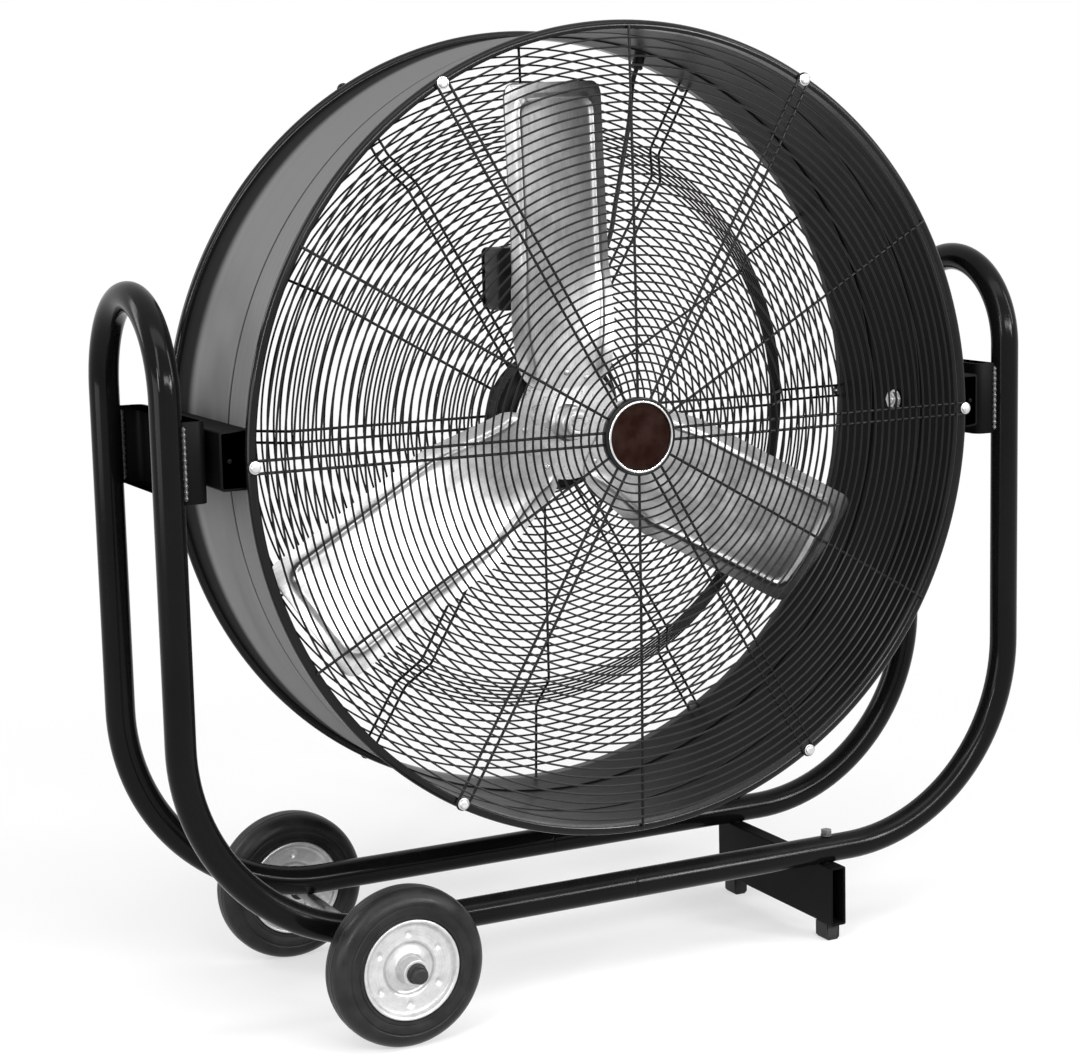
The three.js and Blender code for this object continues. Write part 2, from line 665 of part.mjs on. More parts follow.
// The half turn that joins a pair of spokes round their screw.
function spokeEye(angle, y) {
  const eye = new THREE.Shape();
  const mid = PAIR_GAP / 2;
  eye.absarc(0, 0, mid + SPOKE_W / 2, -Math.PI / 2, Math.PI / 2, false);
  eye.absarc(0, 0, mid - SPOKE_W / 2, Math.PI / 2, -Math.PI / 2, true);
  const bend = new THREE.ExtrudeGeometry(eye, { depth: SPOKE_W, curveSegments: 3, bevelEnabled: false });
  bend.rotateX(-Math.PI / 2).translate(GUARD_R, y - SPOKE_W / 2, 0);
  return bend.rotateY((angle - 90) * DEG);
}

function ringWire(r, y, segments) {
  const ring = new THREE.TorusGeometry(r, RING_WIRE_R, 3, segments);
  return ring.rotateX(Math.PI / 2).translate(0, y, 0);
}

function ringRadii() {
  const radii = [];
  const first = GUARD_HUB_R;
  const pitch = (GUARD_R - PAIR_GAP - first) / RING_COUNT;
  for (let i = 1; i <= RING_COUNT; i += 1) {
    radii.push(first + pitch * i);
  }
  return radii;
}

function guard(side, points, height, extraRings, hub) {
  const wires = [hub];
  for (let i = 0; i < PAIR_COUNT; i += 1) {
    const angle = pairAngle(i);
    wires.push(spoke(points, angle, -PAIR_GAP / 2));
    wires.push(spoke(points, angle, PAIR_GAP / 2));
    wires.push(spokeEye(angle, height(GUARD_R)));
    wires.push(spoke(points, angle + 180 / PAIR_COUNT, 0));
  }
  for (const r of [...ringRadii(), ...extraRings]) {
    wires.push(ringWire(r, height(r) + side * RING_OFFSET, r < GUARD_R / 2 ? 24 : 36));
  }
  return join(wires);
}

function frontHub() {
  const y = frontHeight(GUARD_HUB_R);
  return turned([[0, y - 2], [BADGE_RING_R + CLEAR, y - 2], [BADGE_RING_R + CLEAR, y - 7],
    [GUARD_HUB_R, y - 7], [GUARD_HUB_R, y + 5], [0, y + 5]], 24);
}

function rearHub() {
  const y = REAR_CENTRE_Y;
  return turned([[SHAFT_R + 6, y - SPOKE_W / 2], [GUARD_HUB_R + 12, y - SPOKE_W / 2],
    [GUARD_HUB_R + 12, y + SPOKE_W / 2], [SHAFT_R + 6, y + SPOKE_W / 2]], 24);
}

place(drum, 'front_guard', guard(-1, frontSpokePoints(), frontHeight, [], frontHub()), wirePaint);
place(drum, 'rear_guard', guard(1, rearSpokePoints(), rearHeight, [STEP_INNER_R, STEP_OUTER_R], rearHub()), wirePaint);

// The bare badge: a dark disc inside a bright ring, set in the guard's hub.
const badgeY = frontHeight(GUARD_HUB_R) - 2 - CLEAR;
place(drum, 'badge_ring', turned([[BADGE_R + CLEAR, badgeY], [BADGE_RING_R, badgeY], [BADGE_RING_R, badgeY - 6],
  [BADGE_RING_R - 2, badgeY - 7], [BADGE_R + CLEAR, badgeY - 4]], 24), chrome);
place(drum, 'badge_disc', turned([[0, badgeY], [BADGE_R, badgeY], [BADGE_R, badgeY - 3], [0, badgeY - 4]], 24),
  badgePlastic);

// Screws through the eyes of the double spokes into the rolled rims.
function guardScrew(side) {
  const seat = side * (GUARD_SEAT + SPOKE_W / 2 + CLEAR);
  const head = barY(SCREW_HEAD_R, seat, seat + side * SCREW_HEAD_T, 6);
  const shank = barY(SCREW_R, side * (HALF_DEPTH - SCREW_DEPTH), seat + side, 6);
  return join([head, shank]);
}

for (const [word, side] of [['front', -1], ['rear', 1]]) {
  for (let i = 0; i < PAIR_COUNT; i += 1) {
    const [x, z] = clock(pairAngle(i));
    const screw = place(drum, `${word}_guard_screw_${i + 1}`, guardScrew(side), zinc);
    screw.position.set(x * GUARD_R, 0, z * GUARD_R);
  }
}

// ---------------------------------------------------------------- motor
place(drum, 'motor_plate', turned([[SHAFT_R + 6, MOTOR_PLATE_Y - MOTOR_PLATE_T],
  [MOTOR_PLATE_R, MOTOR_PLATE_Y - MOTOR_PLATE_T], [MOTOR_PLATE_R, MOTOR_PLATE_Y],
  [SHAFT_R + 6, MOTOR_PLATE_Y]], 24), blackPaint);

// The motor's shell is closed at the rear and open for the shaft at the front.
function motorShell() {
  const bore = SHAFT_R + RUNNING;
  const wall = 10;
  return turned([
    [0, MOTOR_REAR_Y], [0, MOTOR_REAR_Y - wall], [bore, MOTOR_REAR_Y - wall], [bore, MOTOR_FRONT_Y],
    [MOTOR_R - 14, MOTOR_FRONT_Y], [MOTOR_R - 3, MOTOR_FRONT_Y + 5], [MOTOR_R, MOTOR_FRONT_Y + 14],
    [MOTOR_R, MOTOR_REAR_Y - 14], [MOTOR_R - 3, MOTOR_REAR_Y - 5], [MOTOR_R - 14, MOTOR_REAR_Y],
  ], 24);
}

function motorBell() {
  const y = MOTOR_FRONT_Y - CLEAR;
  const bore = SHAFT_R + RUNNING;
  const nose = MOTOR_FRONT_Y - FRONT_BELL_DEPTH;
  return turned([[bore, y], [bore, nose], [24, nose], [30, y - 9], [MOTOR_R - 26, y - 6], [MOTOR_R - 16, y]], 24);
}

place(drum, 'motor_shell', motorShell(), motorPaint);
place(drum, 'motor_front_bell', motorBell(), motorPaint);

// ---------------------------------------------------------------- rotor
const SHAFT_REAR = MOTOR_REAR_Y - 10 - CLEAR;
const BOSS_FRONT = HUB_Y - HUB_BOSS_LENGTH;
place(drum, 'motor_shaft', barY(SHAFT_R, BOSS_FRONT - 8, SHAFT_REAR, 24), zinc);

// Hub: a boss on the shaft with a round plate that the blades are riveted to.
function rotorHub() {
  const bore = SHAFT_R + CLEAR;
  return turned([
    [bore, BOSS_FRONT], [HUB_BOSS_R, BOSS_FRONT], [HUB_BOSS_R + 3, HUB_Y - HUB_T],
    [HUB_R, HUB_Y - HUB_T], [HUB_R, HUB_Y - CLEAR], [bore, HUB_Y - CLEAR],
  ], 24);
}

place(drum, 'rotor_hub', rotorHub(), zinc);
place(drum, 'shaft_collar', turned([[SHAFT_R + CLEAR, BOSS_FRONT - CLEAR], [HUB_BOSS_R - 5, BOSS_FRONT - CLEAR],
  [HUB_BOSS_R - 5, BOSS_FRONT - 6], [SHAFT_R + CLEAR, BOSS_FRONT - 6]], 16), zinc);

// Half-width of a blade at a share of its length, rounded at the tip and narrowed at the root.
function bladeHalfWidth(share) {
  const straight = BLADE_ROOT_WIDTH + (BLADE_WIDTH - BLADE_ROOT_WIDTH) * Math.min(1, share / 0.35);
  const edge = 0.055;
  const corner = share > 1 - edge ? Math.sqrt(1 - ((share - 1 + edge) / edge) ** 2 * 0.5) : 1;
  const rootEdge = 0.09;
  const rootCorner = share < rootEdge ? Math.sqrt(1 - ((rootEdge - share) / rootEdge) ** 2 * 0.75) : 1;
  return straight * corner * rootCorner / 2;
}

// A pressed blade: a grid over its width and length, with two ribs, a slight camber and a twist.
function blade() {
  const across = [-1, -0.78, -0.7, -0.62, 0, 0.62, 0.7, 0.78, 1];
  const along = [0, 0.03, 0.09, 0.16, 0.22, 0.28, 0.35, 0.42, 0.65, 0.93, 0.945, 0.975, 1];
  const grid = new THREE.BoxGeometry(2, 1, 1, across.length - 1, 1, along.length - 1);
  const p = grid.attributes.position;
  for (let i = 0; i < p.count; i += 1) {
    const u = across[Math.round((p.getX(i) + 1) / 2 * (across.length - 1))];
    const share = along[Math.round((p.getZ(i) + 0.5) * (along.length - 1))];
    const r = BLADE_ROOT_R + (BLADE_TIP_R - BLADE_ROOT_R) * share;
    const w = bladeHalfWidth(share) * u;
    const ribbed = Math.abs(Math.abs(u) - 0.7) < 0.01 && share > 0.05 && share < 0.95;
    const camber = BLADE_CAMBER * (1 - u * u) * Math.max(0, share - 0.16);
    const rise = (ribbed ? BLADE_RIB : 0) + camber + p.getY(i) * BLADE_T;
    const turn = Math.min(1, Math.max(0, (share - BLADE_TWIST[0]) / (BLADE_TWIST[1] - BLADE_TWIST[0])));
    const pitch = BLADE_PITCH * turn * turn * (3 - 2 * turn) * DEG;
    p.setXYZ(i, w * Math.cos(pitch) + rise * Math.sin(pitch), w * Math.sin(pitch) - rise * Math.cos(pitch), r);
  }
  return grid;
}

const rotor = new THREE.Group();
const BLADE_Y = HUB_Y - HUB_T - CLEAR - BLADE_T / 2;
rotor.position.set(0, BLADE_Y, 0);
drum.add(rotor);

for (let i = 0; i < BLADE_COUNT; i += 1) {
  const rivets = [[-32, 62], [32, 62], [0, 72]].map(([x, z]) => barY(RIVET_R, -BLADE_T / 2 - 3, 0, 6)
    .translate(x, 0, z));
  const rivetedBlade = join([blade(), ...rivets]);
  rivetedBlade.rotateY((BLADE_PHASE + i * 360 / BLADE_COUNT) * DEG);
  place(rotor, `blade_${i + 1}`, rivetedBlade, bladeMetal);
}

// ---------------------------------------------------------------- switch box, knob and lead
const BOX_REAR = REAR_CENTRE_Y - SPOKE_W / 2 - CLEAR;
const COVER_FRONT = REAR_CENTRE_Y + RING_OFFSET + RING_WIRE_R + CLEAR;

function roundedPlate(width, height, radius, depth) {
  const outline = new THREE.Shape();
  const x = width / 2;
  const z = height / 2;
  outline.moveTo(-x + radius, -z);
  outline.absarc(x - radius, -z + radius, radius, -Math.PI / 2, 0, false);
  outline.absarc(x - radius, z - radius, radius, 0, Math.PI / 2, false);
  outline.absarc(-x + radius, z - radius, radius, Math.PI / 2, Math.PI, false);
  outline.absarc(-x + radius, -z + radius, radius, Math.PI, Math.PI * 1.5, false);
  const plate = new THREE.ExtrudeGeometry(outline, { depth, curveSegments: 3, bevelEnabled: false });
  return plate.rotateX(Math.PI / 2);
}

// Y of a rounded plate runs from its own zero towards -Y.
const boxBody = roundedPlate(BOX_WIDTH, BOX_HEIGHT, 8, BOX_DEPTH).translate(BOX_X, BOX_REAR, BOX_Z);
place(drum, 'switch_box', boxBody, blackPlastic);

const coverRear = COVER_FRONT + COVER_T;
const cover = roundedPlate(BOX_WIDTH, BOX_HEIGHT, 8, COVER_T).translate(BOX_X, coverRear, BOX_Z);
place(drum, 'switch_cover', cover, blackPlastic);

function knobGeometry() {
  const grip = box(-4, 4, CLEAR + KNOB_T - 1, CLEAR + KNOB_T + 7, -KNOB_R + 3, KNOB_R - 3);
  return join([barY(KNOB_R, CLEAR, CLEAR + KNOB_T, 20), grip]);
}

const knob = place(drum, 'switch_knob', knobGeometry(), blackPlastic);
knob.position.set(BOX_X, coverRear, BOX_Z);

// Gland through the drum wall near its rear rim, and the lead from there to the switch box.
function leadGland() {
  const from = INNER_R - 16;
  const to = DRUM_R + 12;
  return join([
    radialBar(GLAND_R, from, to, 12),
    radialBar(GLAND_R + 4, DRUM_R + 1 + CLEAR, to, 6),
  ]);
}

place(drum, 'lead_gland', leadGland(), blackPlastic);

function supplyLead() {
  const [x, z] = clock(LEAD_ANGLE);
  const start = INNER_R - 16 - CLEAR;
  const y = LEAD_GLAND_Y;
  const hang = REAR_CENTRE_Y - SPOKE_W / 2 - LEAD_R - 4;
  const end = BOX_X + BOX_WIDTH / 2 + CLEAR;
  const from = new THREE.Vector3(x * (start - 20), hang, z * (start - 20));
  const to = new THREE.Vector3(end + 18, hang, BOX_Z);
  const bowed = [0.2, 0.4, 0.6, 0.87].map((share) => {
    const bow = LEAD_BOW * Math.sin(share * Math.PI / 2) ** 1.4;
    return from.clone().lerp(to, share).add(new THREE.Vector3(bow, 0, 0));
  });
  const route = [
    new THREE.Vector3(x * start, y, z * start),
    new THREE.Vector3(from.x, y, from.z),
    ...bowed,
    to,
    new THREE.Vector3(end, hang, BOX_Z),
  ];
  const path = new THREE.CatmullRomCurve3(route);
  const section = new THREE.Shape();
  section.absarc(0, 0, LEAD_R, 0, 2 * Math.PI, false);
  return new THREE.ExtrudeGeometry(section, { steps: 22, extrudePath: path, curveSegments: 4, bevelEnabled: false });
}

place(drum, 'supply_lead', supplyLead(), leadSheath);

export default fan;
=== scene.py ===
"""Looks of a large tilting drum fan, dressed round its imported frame.

Lengths in the classes are millimetres in the frame's axes: the drum's axis runs along Y, the air
leaves towards -Y and Z points up. A mesh is worked out in millimetres and stored in metres.
"""

import logging
import math
from abc import ABC, abstractmethod
from dataclasses import dataclass, field
from enum import Enum
from typing import Optional, Sequence

import bmesh
import bpy
import numpy as np
from mathutils import Matrix, Vector


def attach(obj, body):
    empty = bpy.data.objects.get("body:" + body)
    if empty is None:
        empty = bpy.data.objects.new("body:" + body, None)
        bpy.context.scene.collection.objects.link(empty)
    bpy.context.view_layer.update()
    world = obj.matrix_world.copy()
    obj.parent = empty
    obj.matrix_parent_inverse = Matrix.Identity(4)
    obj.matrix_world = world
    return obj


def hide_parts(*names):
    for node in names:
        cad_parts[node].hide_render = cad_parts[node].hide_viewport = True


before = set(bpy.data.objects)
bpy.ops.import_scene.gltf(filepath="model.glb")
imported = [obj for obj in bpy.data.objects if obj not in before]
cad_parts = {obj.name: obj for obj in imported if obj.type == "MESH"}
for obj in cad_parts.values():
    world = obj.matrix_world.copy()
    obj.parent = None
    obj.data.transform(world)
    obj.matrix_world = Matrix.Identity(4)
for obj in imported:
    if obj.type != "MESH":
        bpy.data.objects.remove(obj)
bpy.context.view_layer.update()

LOG = logging.getLogger("drum_fan")
MM = 0.001
X_AXIS, Y_AXIS, Z_AXIS = np.eye(3)
X_UP = np.array([Y_AXIS, Z_AXIS, X_AXIS])
Y_UP = np.array([Z_AXIS, X_AXIS, Y_AXIS])
Z_UP = np.eye(3)


# ------------------------------------------------------------------------------------ surfaces
@dataclass
class Shape:
    """A surface: points in millimetres and faces as index arrays.

    Attributes:
        points: (n, 3) array of places.
        faces: list of (m, k) arrays, each holding faces of k corners.
        local: (n, 3) array of the surface's own coordinates, for patterns that follow it.
        tags: one material number for each array in faces.
    """

    points: np.ndarray
    faces: list[np.ndarray]
    local: np.ndarray
    tags: list[int] = field(default_factory=list)

    def __post_init__(self) -> None:
        """Gives every array of faces the first material unless it has one."""
        self.tags = self.tags or [0] * len(self.faces)

    def moved(self, offset: Sequence[float]) -> "Shape":
        """Returns the shape shifted by offset."""
        return Shape(self.points + np.asarray(offset, float), self.faces, self.local, self.tags)

    def mapped(self, matrix: np.ndarray) -> "Shape":
        """Returns the shape with every point multiplied by a 3x3 matrix of row vectors.

        Args:
            matrix: rows are where the X, Y and Z directions go.

        Returns:
            The mapped shape, its faces turned over where the matrix mirrors.
        """
        faces = [f[:, ::-1] for f in self.faces] if np.linalg.det(matrix) < 0 else self.faces
        return Shape(self.points @ matrix, faces, self.local, self.tags)

    def clocked(self, degrees: float) -> "Shape":
        """Returns the shape turned about Y, clockwise as seen from the front."""
        c, s = math.cos(math.radians(degrees)), math.sin(math.radians(degrees))
        return self.mapped(np.array([[c, 0, -s], [0, 1, 0], [s, 0, c]]))

    def on_side(self, side: int) -> "Shape":
        """Returns the shape, or its mirror image across the YZ plane where side is negative."""
        return self if side > 0 else self.mapped(np.diag([-1.0, 1.0, 1.0]))

    def at_end(self, side: int) -> "Shape":
        """Returns the shape, or its mirror image across the XZ plane where side is negative."""
        return self if side > 0 else self.mapped(np.diag([1.0, -1.0, 1.0]))

    def tagged(self, number: int) -> "Shape":
        """Returns the shape with all its faces on one material number."""
        return Shape(self.points, self.faces, self.local, [number] * len(self.faces))

    def volume(self) -> float:
        """Returns the signed volume: the sum of a.(b x c)/6 over fans of every face."""
        total = 0.0
        for f in self.faces:
            a = self.points[f[:, 0]]
            for k in range(1, f.shape[1] - 1):
                b, c = self.points[f[:, k]], self.points[f[:, k + 1]]
                total += float(np.einsum("ij,ij->", a, np.cross(b, c))) / 6.0
        return total

    def outward(self) -> "Shape":
        """Returns the shape with its faces pointing out."""
        if self.volume() >= 0:
            return self
        return Shape(self.points, [f[:, ::-1] for f in self.faces], self.local, self.tags)


def joined(shapes: Sequence[Shape]) -> Shape:
    """Puts shapes side by side in one, without welding them.

    Args:
        shapes: closed shapes, whichever way their faces point.

    Returns:
        One shape that holds them all, its faces pointing out.
    """
    shapes = [s.outward() for s in shapes]
    starts = np.cumsum([0] + [len(s.points) for s in shapes])
    faces = [f + start for s, start in zip(shapes, starts) for f in s.faces]
    tags = [t for s in shapes for t in s.tags]
    return Shape(np.concatenate([s.points for s in shapes]), faces,
                 np.concatenate([s.local for s in shapes]), tags)


def unit(vectors: np.ndarray) -> np.ndarray:
    """Returns vectors scaled to length one along their last axis."""
    return vectors / np.maximum(np.linalg.norm(vectors, axis=-1, keepdims=True), 1e-12)


def grid_faces(rows: int, cols: int, wrap_rows: bool, wrap_cols: bool) -> np.ndarray:
    """Quads of a grid whose point (i, j) has the index i * cols + j.

    Args:
        rows: number of points along i.
        cols: number of points along j.
        wrap_rows: whether the last row joins the first.
        wrap_cols: whether the last column joins the first.

    Returns:
        (m, 4) array of point numbers.
    """
    i, j = np.indices((rows - (not wrap_rows), cols - (not wrap_cols)))
    i2, j2 = (i + 1) % rows, (j + 1) % cols
    return np.stack([i * cols + j, i * cols + j2, i2 * cols + j2, i2 * cols + j], -1).reshape(-1, 4)


def circle(radius: float, sides: int, start: float = 0.0) -> np.ndarray:
    """Returns (sides, 2) points (r cos t, r sin t) of a round section."""
    t = np.linspace(0, 2 * np.pi, sides, endpoint=False) + start
    return radius * np.stack([np.cos(t), np.sin(t)], -1)


def arc(centre: Sequence[float], radius: float, start: float, end: float, steps: int) -> np.ndarray:
    """Returns centre + radius (cos t, sin t) for t from start to end in degrees."""
    t = np.radians(np.linspace(start, end, steps + 1))
    return np.asarray(centre, float) + radius * np.stack([np.cos(t), np.sin(t)], -1)


def softened(corners: Sequence[Sequence[float]], radii: float | Sequence[float],
             steps: int = 5) -> np.ndarray:
    """A closed outline with its corners rounded.

    Corner p with unit edges a (in) and b (out) and turn w becomes
    p - a q + r [a sin t + n (1 - cos t)] for t from 0 to w, with q = r tan(w / 2).

    Args:
        corners: (k, 2) corners in order.
        radii: one radius, or one for each corner.
        steps: number of facets in each rounding.

    Returns:
        (m, 2) points of the outline.
    """
    p = np.asarray(corners, float)
    r = np.broadcast_to(np.asarray(radii, float), (len(p),))
    a, b = unit(p - np.roll(p, 1, 0)), unit(np.roll(p, -1, 0) - p)
    turn = np.arccos(np.clip(np.sum(a * b, -1), -1, 1))
    room = 0.49 * np.minimum(np.linalg.norm(p - np.roll(p, 1, 0), axis=-1),
                             np.linalg.norm(p - np.roll(p, -1, 0), axis=-1))
    reach = np.minimum(r * np.tan(turn / 2), room)
    real = reach / np.maximum(np.tan(turn / 2), 1e-9)
    n = unit(b - a * np.sum(a * b, -1, keepdims=True))
    t = np.linspace(0, 1, steps + 1)[None, :, None] * turn[:, None, None]
    out = (p - a * reach[:, None])[:, None] + real[:, None, None] * (
        a[:, None] * np.sin(t) + n[:, None] * (1 - np.cos(t)))
    out = out.reshape(-1, 2)
    return out[np.linalg.norm(out - np.roll(out, 1, 0), axis=-1) > 1e-4]


def oblong(left: float, right: float, low: float, high: float, radius: float, steps: int) -> np.ndarray:
    """Returns a rectangle's outline with rounded corners, of so many facets each."""
    return softened([(left, low), (right, low), (right, high), (left, high)], radius, steps)


def bent_path(corners: Sequence[Sequence[float]], bends: Sequence[float], steps: int) -> np.ndarray:
    """A centre line through corners with round bends.

    Bend i is s + side R (1 - cos t) + before R sin t for t from 0 to its turn, where s lies
    R tan(turn / 2) before the corner.

    Args:
        corners: (k, 3) corners.
        bends: bend radius at each inner corner.
        steps: facets along each bend.

    Returns:
        (m, 3) points.
    """
    p = np.asarray(corners, float)
    legs = unit(np.diff(p, axis=0))
    parts = [p[:1]]
    for corner, before, after, radius in zip(p[1:-1], legs[:-1], legs[1:], bends):
        turn = math.acos(float(np.clip(before @ after, -1, 1)))
        side = unit(after - before * (after @ before))
        t = np.linspace(0, turn, steps + 1)[:, None]
        start = corner - before * radius * math.tan(turn / 2)
        parts.append(start + side * radius * (1 - np.cos(t)) + before * radius * np.sin(t))
    parts.append(p[-1:])
    path = np.concatenate(parts)
    keep = np.append(True, np.linalg.norm(np.diff(path, axis=0), axis=-1) > 1e-3)
    return path[keep]


def spline_path(knots: Sequence[Sequence[float]], steps: int) -> np.ndarray:
    """A smooth line through knots.

    Between knots p and q with chord h the line is the cubic Hermite
    (2u^3-3u^2+1)p + (u^3-2u^2+u)h m + (3u^2-2u^3)q + (u^3-u^2)h n, where the slopes m and n are
    the chord-weighted means of the neighbouring chords' slopes.

    Args:
        knots: (k, 3) points to pass.
        steps: points in each span.

    Returns:
        (m, 3) points.
    """
    p = np.asarray(knots, float)
    h = np.sqrt(np.linalg.norm(np.diff(p, axis=0), axis=-1))[:, None]
    slope = np.diff(p, axis=0) / h
    inner = (slope[:-1] * h[1:] + slope[1:] * h[:-1]) / (h[1:] + h[:-1])
    m = np.concatenate([slope[:1], inner, slope[-1:]])
    u = np.linspace(0, 1, steps, endpoint=False)[None, :, None]
    a, b, c, d = 2*u**3 - 3*u**2 + 1, u**3 - 2*u**2 + u, 3*u**2 - 2*u**3, u**3 - u**2
    spans = a * p[:-1, None] + b * (h * m[:-1])[:, None] + c * p[1:, None] + d * (h * m[1:])[:, None]
    return np.concatenate([spans.reshape(-1, 3), p[-1:]])


def sweep(path: np.ndarray, section: np.ndarray, hint: np.ndarray, closed: bool = False,
          scale: Optional[np.ndarray] = None) -> Shape:
    """A closed section carried along a path.

    Point (i, j) = path_i + g_i (u_j side_i + v_j up_i), where side is the hint made square to the
    path's direction and up is their cross product.

    Args:
        path: (n, 3) centre line.
        section: (k, 2) section.
        hint: one direction, or one for each station, that the section's first axis leans to.
        closed: whether the path's end joins its start.
        scale: size g of the section at each station, all ones if left out.

    Returns:
        A closed tube with flat ends, or a closed ring.
    """
    n, k = len(path), len(section)
    ahead = np.roll(path, -1, 0) - path
    behind = path - np.roll(path, 1, 0)
    if not closed:
        ahead[-1], behind[0] = behind[-1], ahead[0]
    tangent = unit(unit(ahead) / np.maximum(np.linalg.norm(ahead, axis=-1, keepdims=True), 1e-9)
                   + unit(behind) / np.maximum(np.linalg.norm(behind, axis=-1, keepdims=True), 1e-9))
    side = np.broadcast_to(hint, path.shape)
    side = unit(side - tangent * np.sum(side * tangent, -1, keepdims=True))
    up = np.cross(tangent, side)
    g = np.ones(n) if scale is None else scale
    points = path[:, None] + g[:, None, None] * (
        section[None, :, :1] * side[:, None] + section[None, :, 1:] * up[:, None])
    run = np.append(0, np.cumsum(np.linalg.norm(np.diff(path, axis=0), axis=-1)))
    local = np.stack(np.broadcast_arrays(run[:, None], section[None, :, 0], section[None, :, 1]), -1)
    faces = [grid_faces(n, k, closed, True)]
    if not closed:
        faces += [np.arange(k)[None, ::-1], (n - 1) * k + np.arange(k)[None]]
    return Shape(points.reshape(-1, 3), faces, local.reshape(-1, 3)).outward()


def turned(profile: Sequence[Sequence[float]], segments: int, closed: bool = True) -> Shape:
    """A profile turned about the Y axis: point (a, t) = (r_t sin a, y_t, r_t cos a).

    Args:
        profile: (k, 2) pairs of radius and y.
        segments: facets round the axis.
        closed: whether the profile is a loop; otherwise it starts and ends on the axis.

    Returns:
        The turned shape. Points on the axis are merged when the mesh is made.
    """
    p = np.asarray(profile, float)
    a = np.linspace(0, 2 * np.pi, segments, endpoint=False)[:, None]
    r, y = p[None, :, 0], p[None, :, 1]
    points = np.stack(np.broadcast_arrays(r * np.sin(a), y, r * np.cos(a)), -1)
    local = np.stack(np.broadcast_arrays(r, y, a), -1)
    return Shape(points.reshape(-1, 3), [grid_faces(segments, len(p), True, closed)],
                 local.reshape(-1, 3)).outward()


def flat_ring(bore: float, radius: float, low: float, high: float, edge: float,
              segments: int = 96) -> Shape:
    """Returns a flat ring about the Y axis from low to high along it, its edges eased."""
    return turned(oblong(bore, radius, low, high, edge, 3), segments)


def slab(outline: np.ndarray, low: float, high: float, edge: float, axes: np.ndarray,
         steps: int = 2) -> Shape:
    """A flat plate with eased edges.

    Level t of the side is the outline moved inwards along its corner bisectors by
    e (1 - sin w) at height low + e (1 - cos w) and the same mirrored at the top.

    Args:
        outline: (k, 2) outline, counter-clockwise.
        low: height of one face.
        high: height of the other face.
        edge: radius e of the eased edges.
        axes: rows are the directions of the outline's first and second axis and of the height.
        steps: facets in each eased edge.

    Returns:
        The plate.
    """
    p = np.asarray(outline, float)
    a, b = unit(p - np.roll(p, 1, 0)), unit(np.roll(p, -1, 0) - p)
    na, nb = np.stack([-a[:, 1], a[:, 0]], -1), np.stack([-b[:, 1], b[:, 0]], -1)
    miter = unit(na + nb)
    miter = miter / np.maximum(np.sum(miter * na, -1, keepdims=True), 0.4)
    w = np.linspace(0, np.pi / 2, steps + 1)
    inset = edge * np.concatenate([1 - np.sin(w), (1 - np.sin(w))[::-1]])
    height = np.concatenate([low + edge * (1 - np.cos(w)), high - edge * (1 - np.cos(w))[::-1]])
    flat = p[None] + inset[:, None, None] * miter[None]
    local = np.concatenate([flat, np.broadcast_to(height[:, None, None], flat.shape[:2] + (1,))], -1)
    local = local.reshape(-1, 3)
    n, k = len(height), len(p)
    faces = [grid_faces(n, k, False, True), np.arange(k)[None, ::-1], (n - 1) * k + np.arange(k)[None]]
    return Shape(local @ np.asarray(axes, float), faces, local).outward()


def sheet_metal(front: np.ndarray, back: np.ndarray) -> Shape:
    """A pressed sheet from two matching grids of points, joined round their edge.

    Args:
        front: (n, k, 3) points of one face.
        back: (n, k, 3) points of the other face.

    Returns:
        The closed sheet.
    """
    n, k = front.shape[:2]
    ids = np.arange(n * k).reshape(n, k)
    loop = np.concatenate([ids[0, :-1], ids[:-1, -1], ids[-1, :0:-1], ids[:0:-1, 0]])
    after = np.roll(loop, -1)
    quads = grid_faces(n, k, False, False)
    rim = np.stack([loop, after, after + n * k, loop + n * k], -1)
    points = np.concatenate([front.reshape(-1, 3), back.reshape(-1, 3)])
    return Shape(points, [quads, quads[:, ::-1] + n * k, rim], points.copy()).outward()


# ------------------------------------------------------------------------------------ finishes
class NodeBoard:
    """One node tree, with short calls for the nodes that finishes and surroundings use."""

    def __init__(self, tree: bpy.types.NodeTree) -> None:
        """Clears a node tree and takes it over.

        Args:
            tree: the tree of a material or of the world.
        """
        self.tree = tree
        self.tree.nodes.clear()

    def node(self, kind: str, **settings: object) -> bpy.types.Node:
        """Returns a new node of a kind with its settings."""
        made = self.tree.nodes.new(kind)
        for key, value in settings.items():
            setattr(made, key, value)
        return made

    def link(self, source: bpy.types.NodeSocket, target: bpy.types.NodeSocket) -> None:
        """Joins an output to an input."""
        self.tree.links.new(source, target)

    def feed(self, target: bpy.types.NodeSocket, value: object) -> None:
        """Links an output to a socket, or sets the socket to a number or colour."""
        if isinstance(value, bpy.types.NodeSocket):
            self.link(value, target)
        else:
            target.default_value = value

    def calc(self, operation: str, a: object, b: object = 0.0, c: object = 0.0) -> bpy.types.NodeSocket:
        """Returns the result of a Math node on outputs or numbers."""
        made = self.node("ShaderNodeMath", operation=operation)
        self.feed(made.inputs[0], a)
        self.feed(made.inputs[1], b)
        if operation == "MULTIPLY_ADD":
            self.feed(made.inputs[2], c)
        return made.outputs["Value"]

    def surroundings(self) -> bpy.types.NodeSocket:
        """Returns 1 for the rays that see or mirror the white surroundings, and 0 for the rest."""
        path = self.node("ShaderNodeLightPath").outputs
        through = self.calc("MAXIMUM", path["Is Glossy Ray"], path["Is Transmission Ray"])
        return self.calc("MAXIMUM", path["Is Camera Ray"], through)


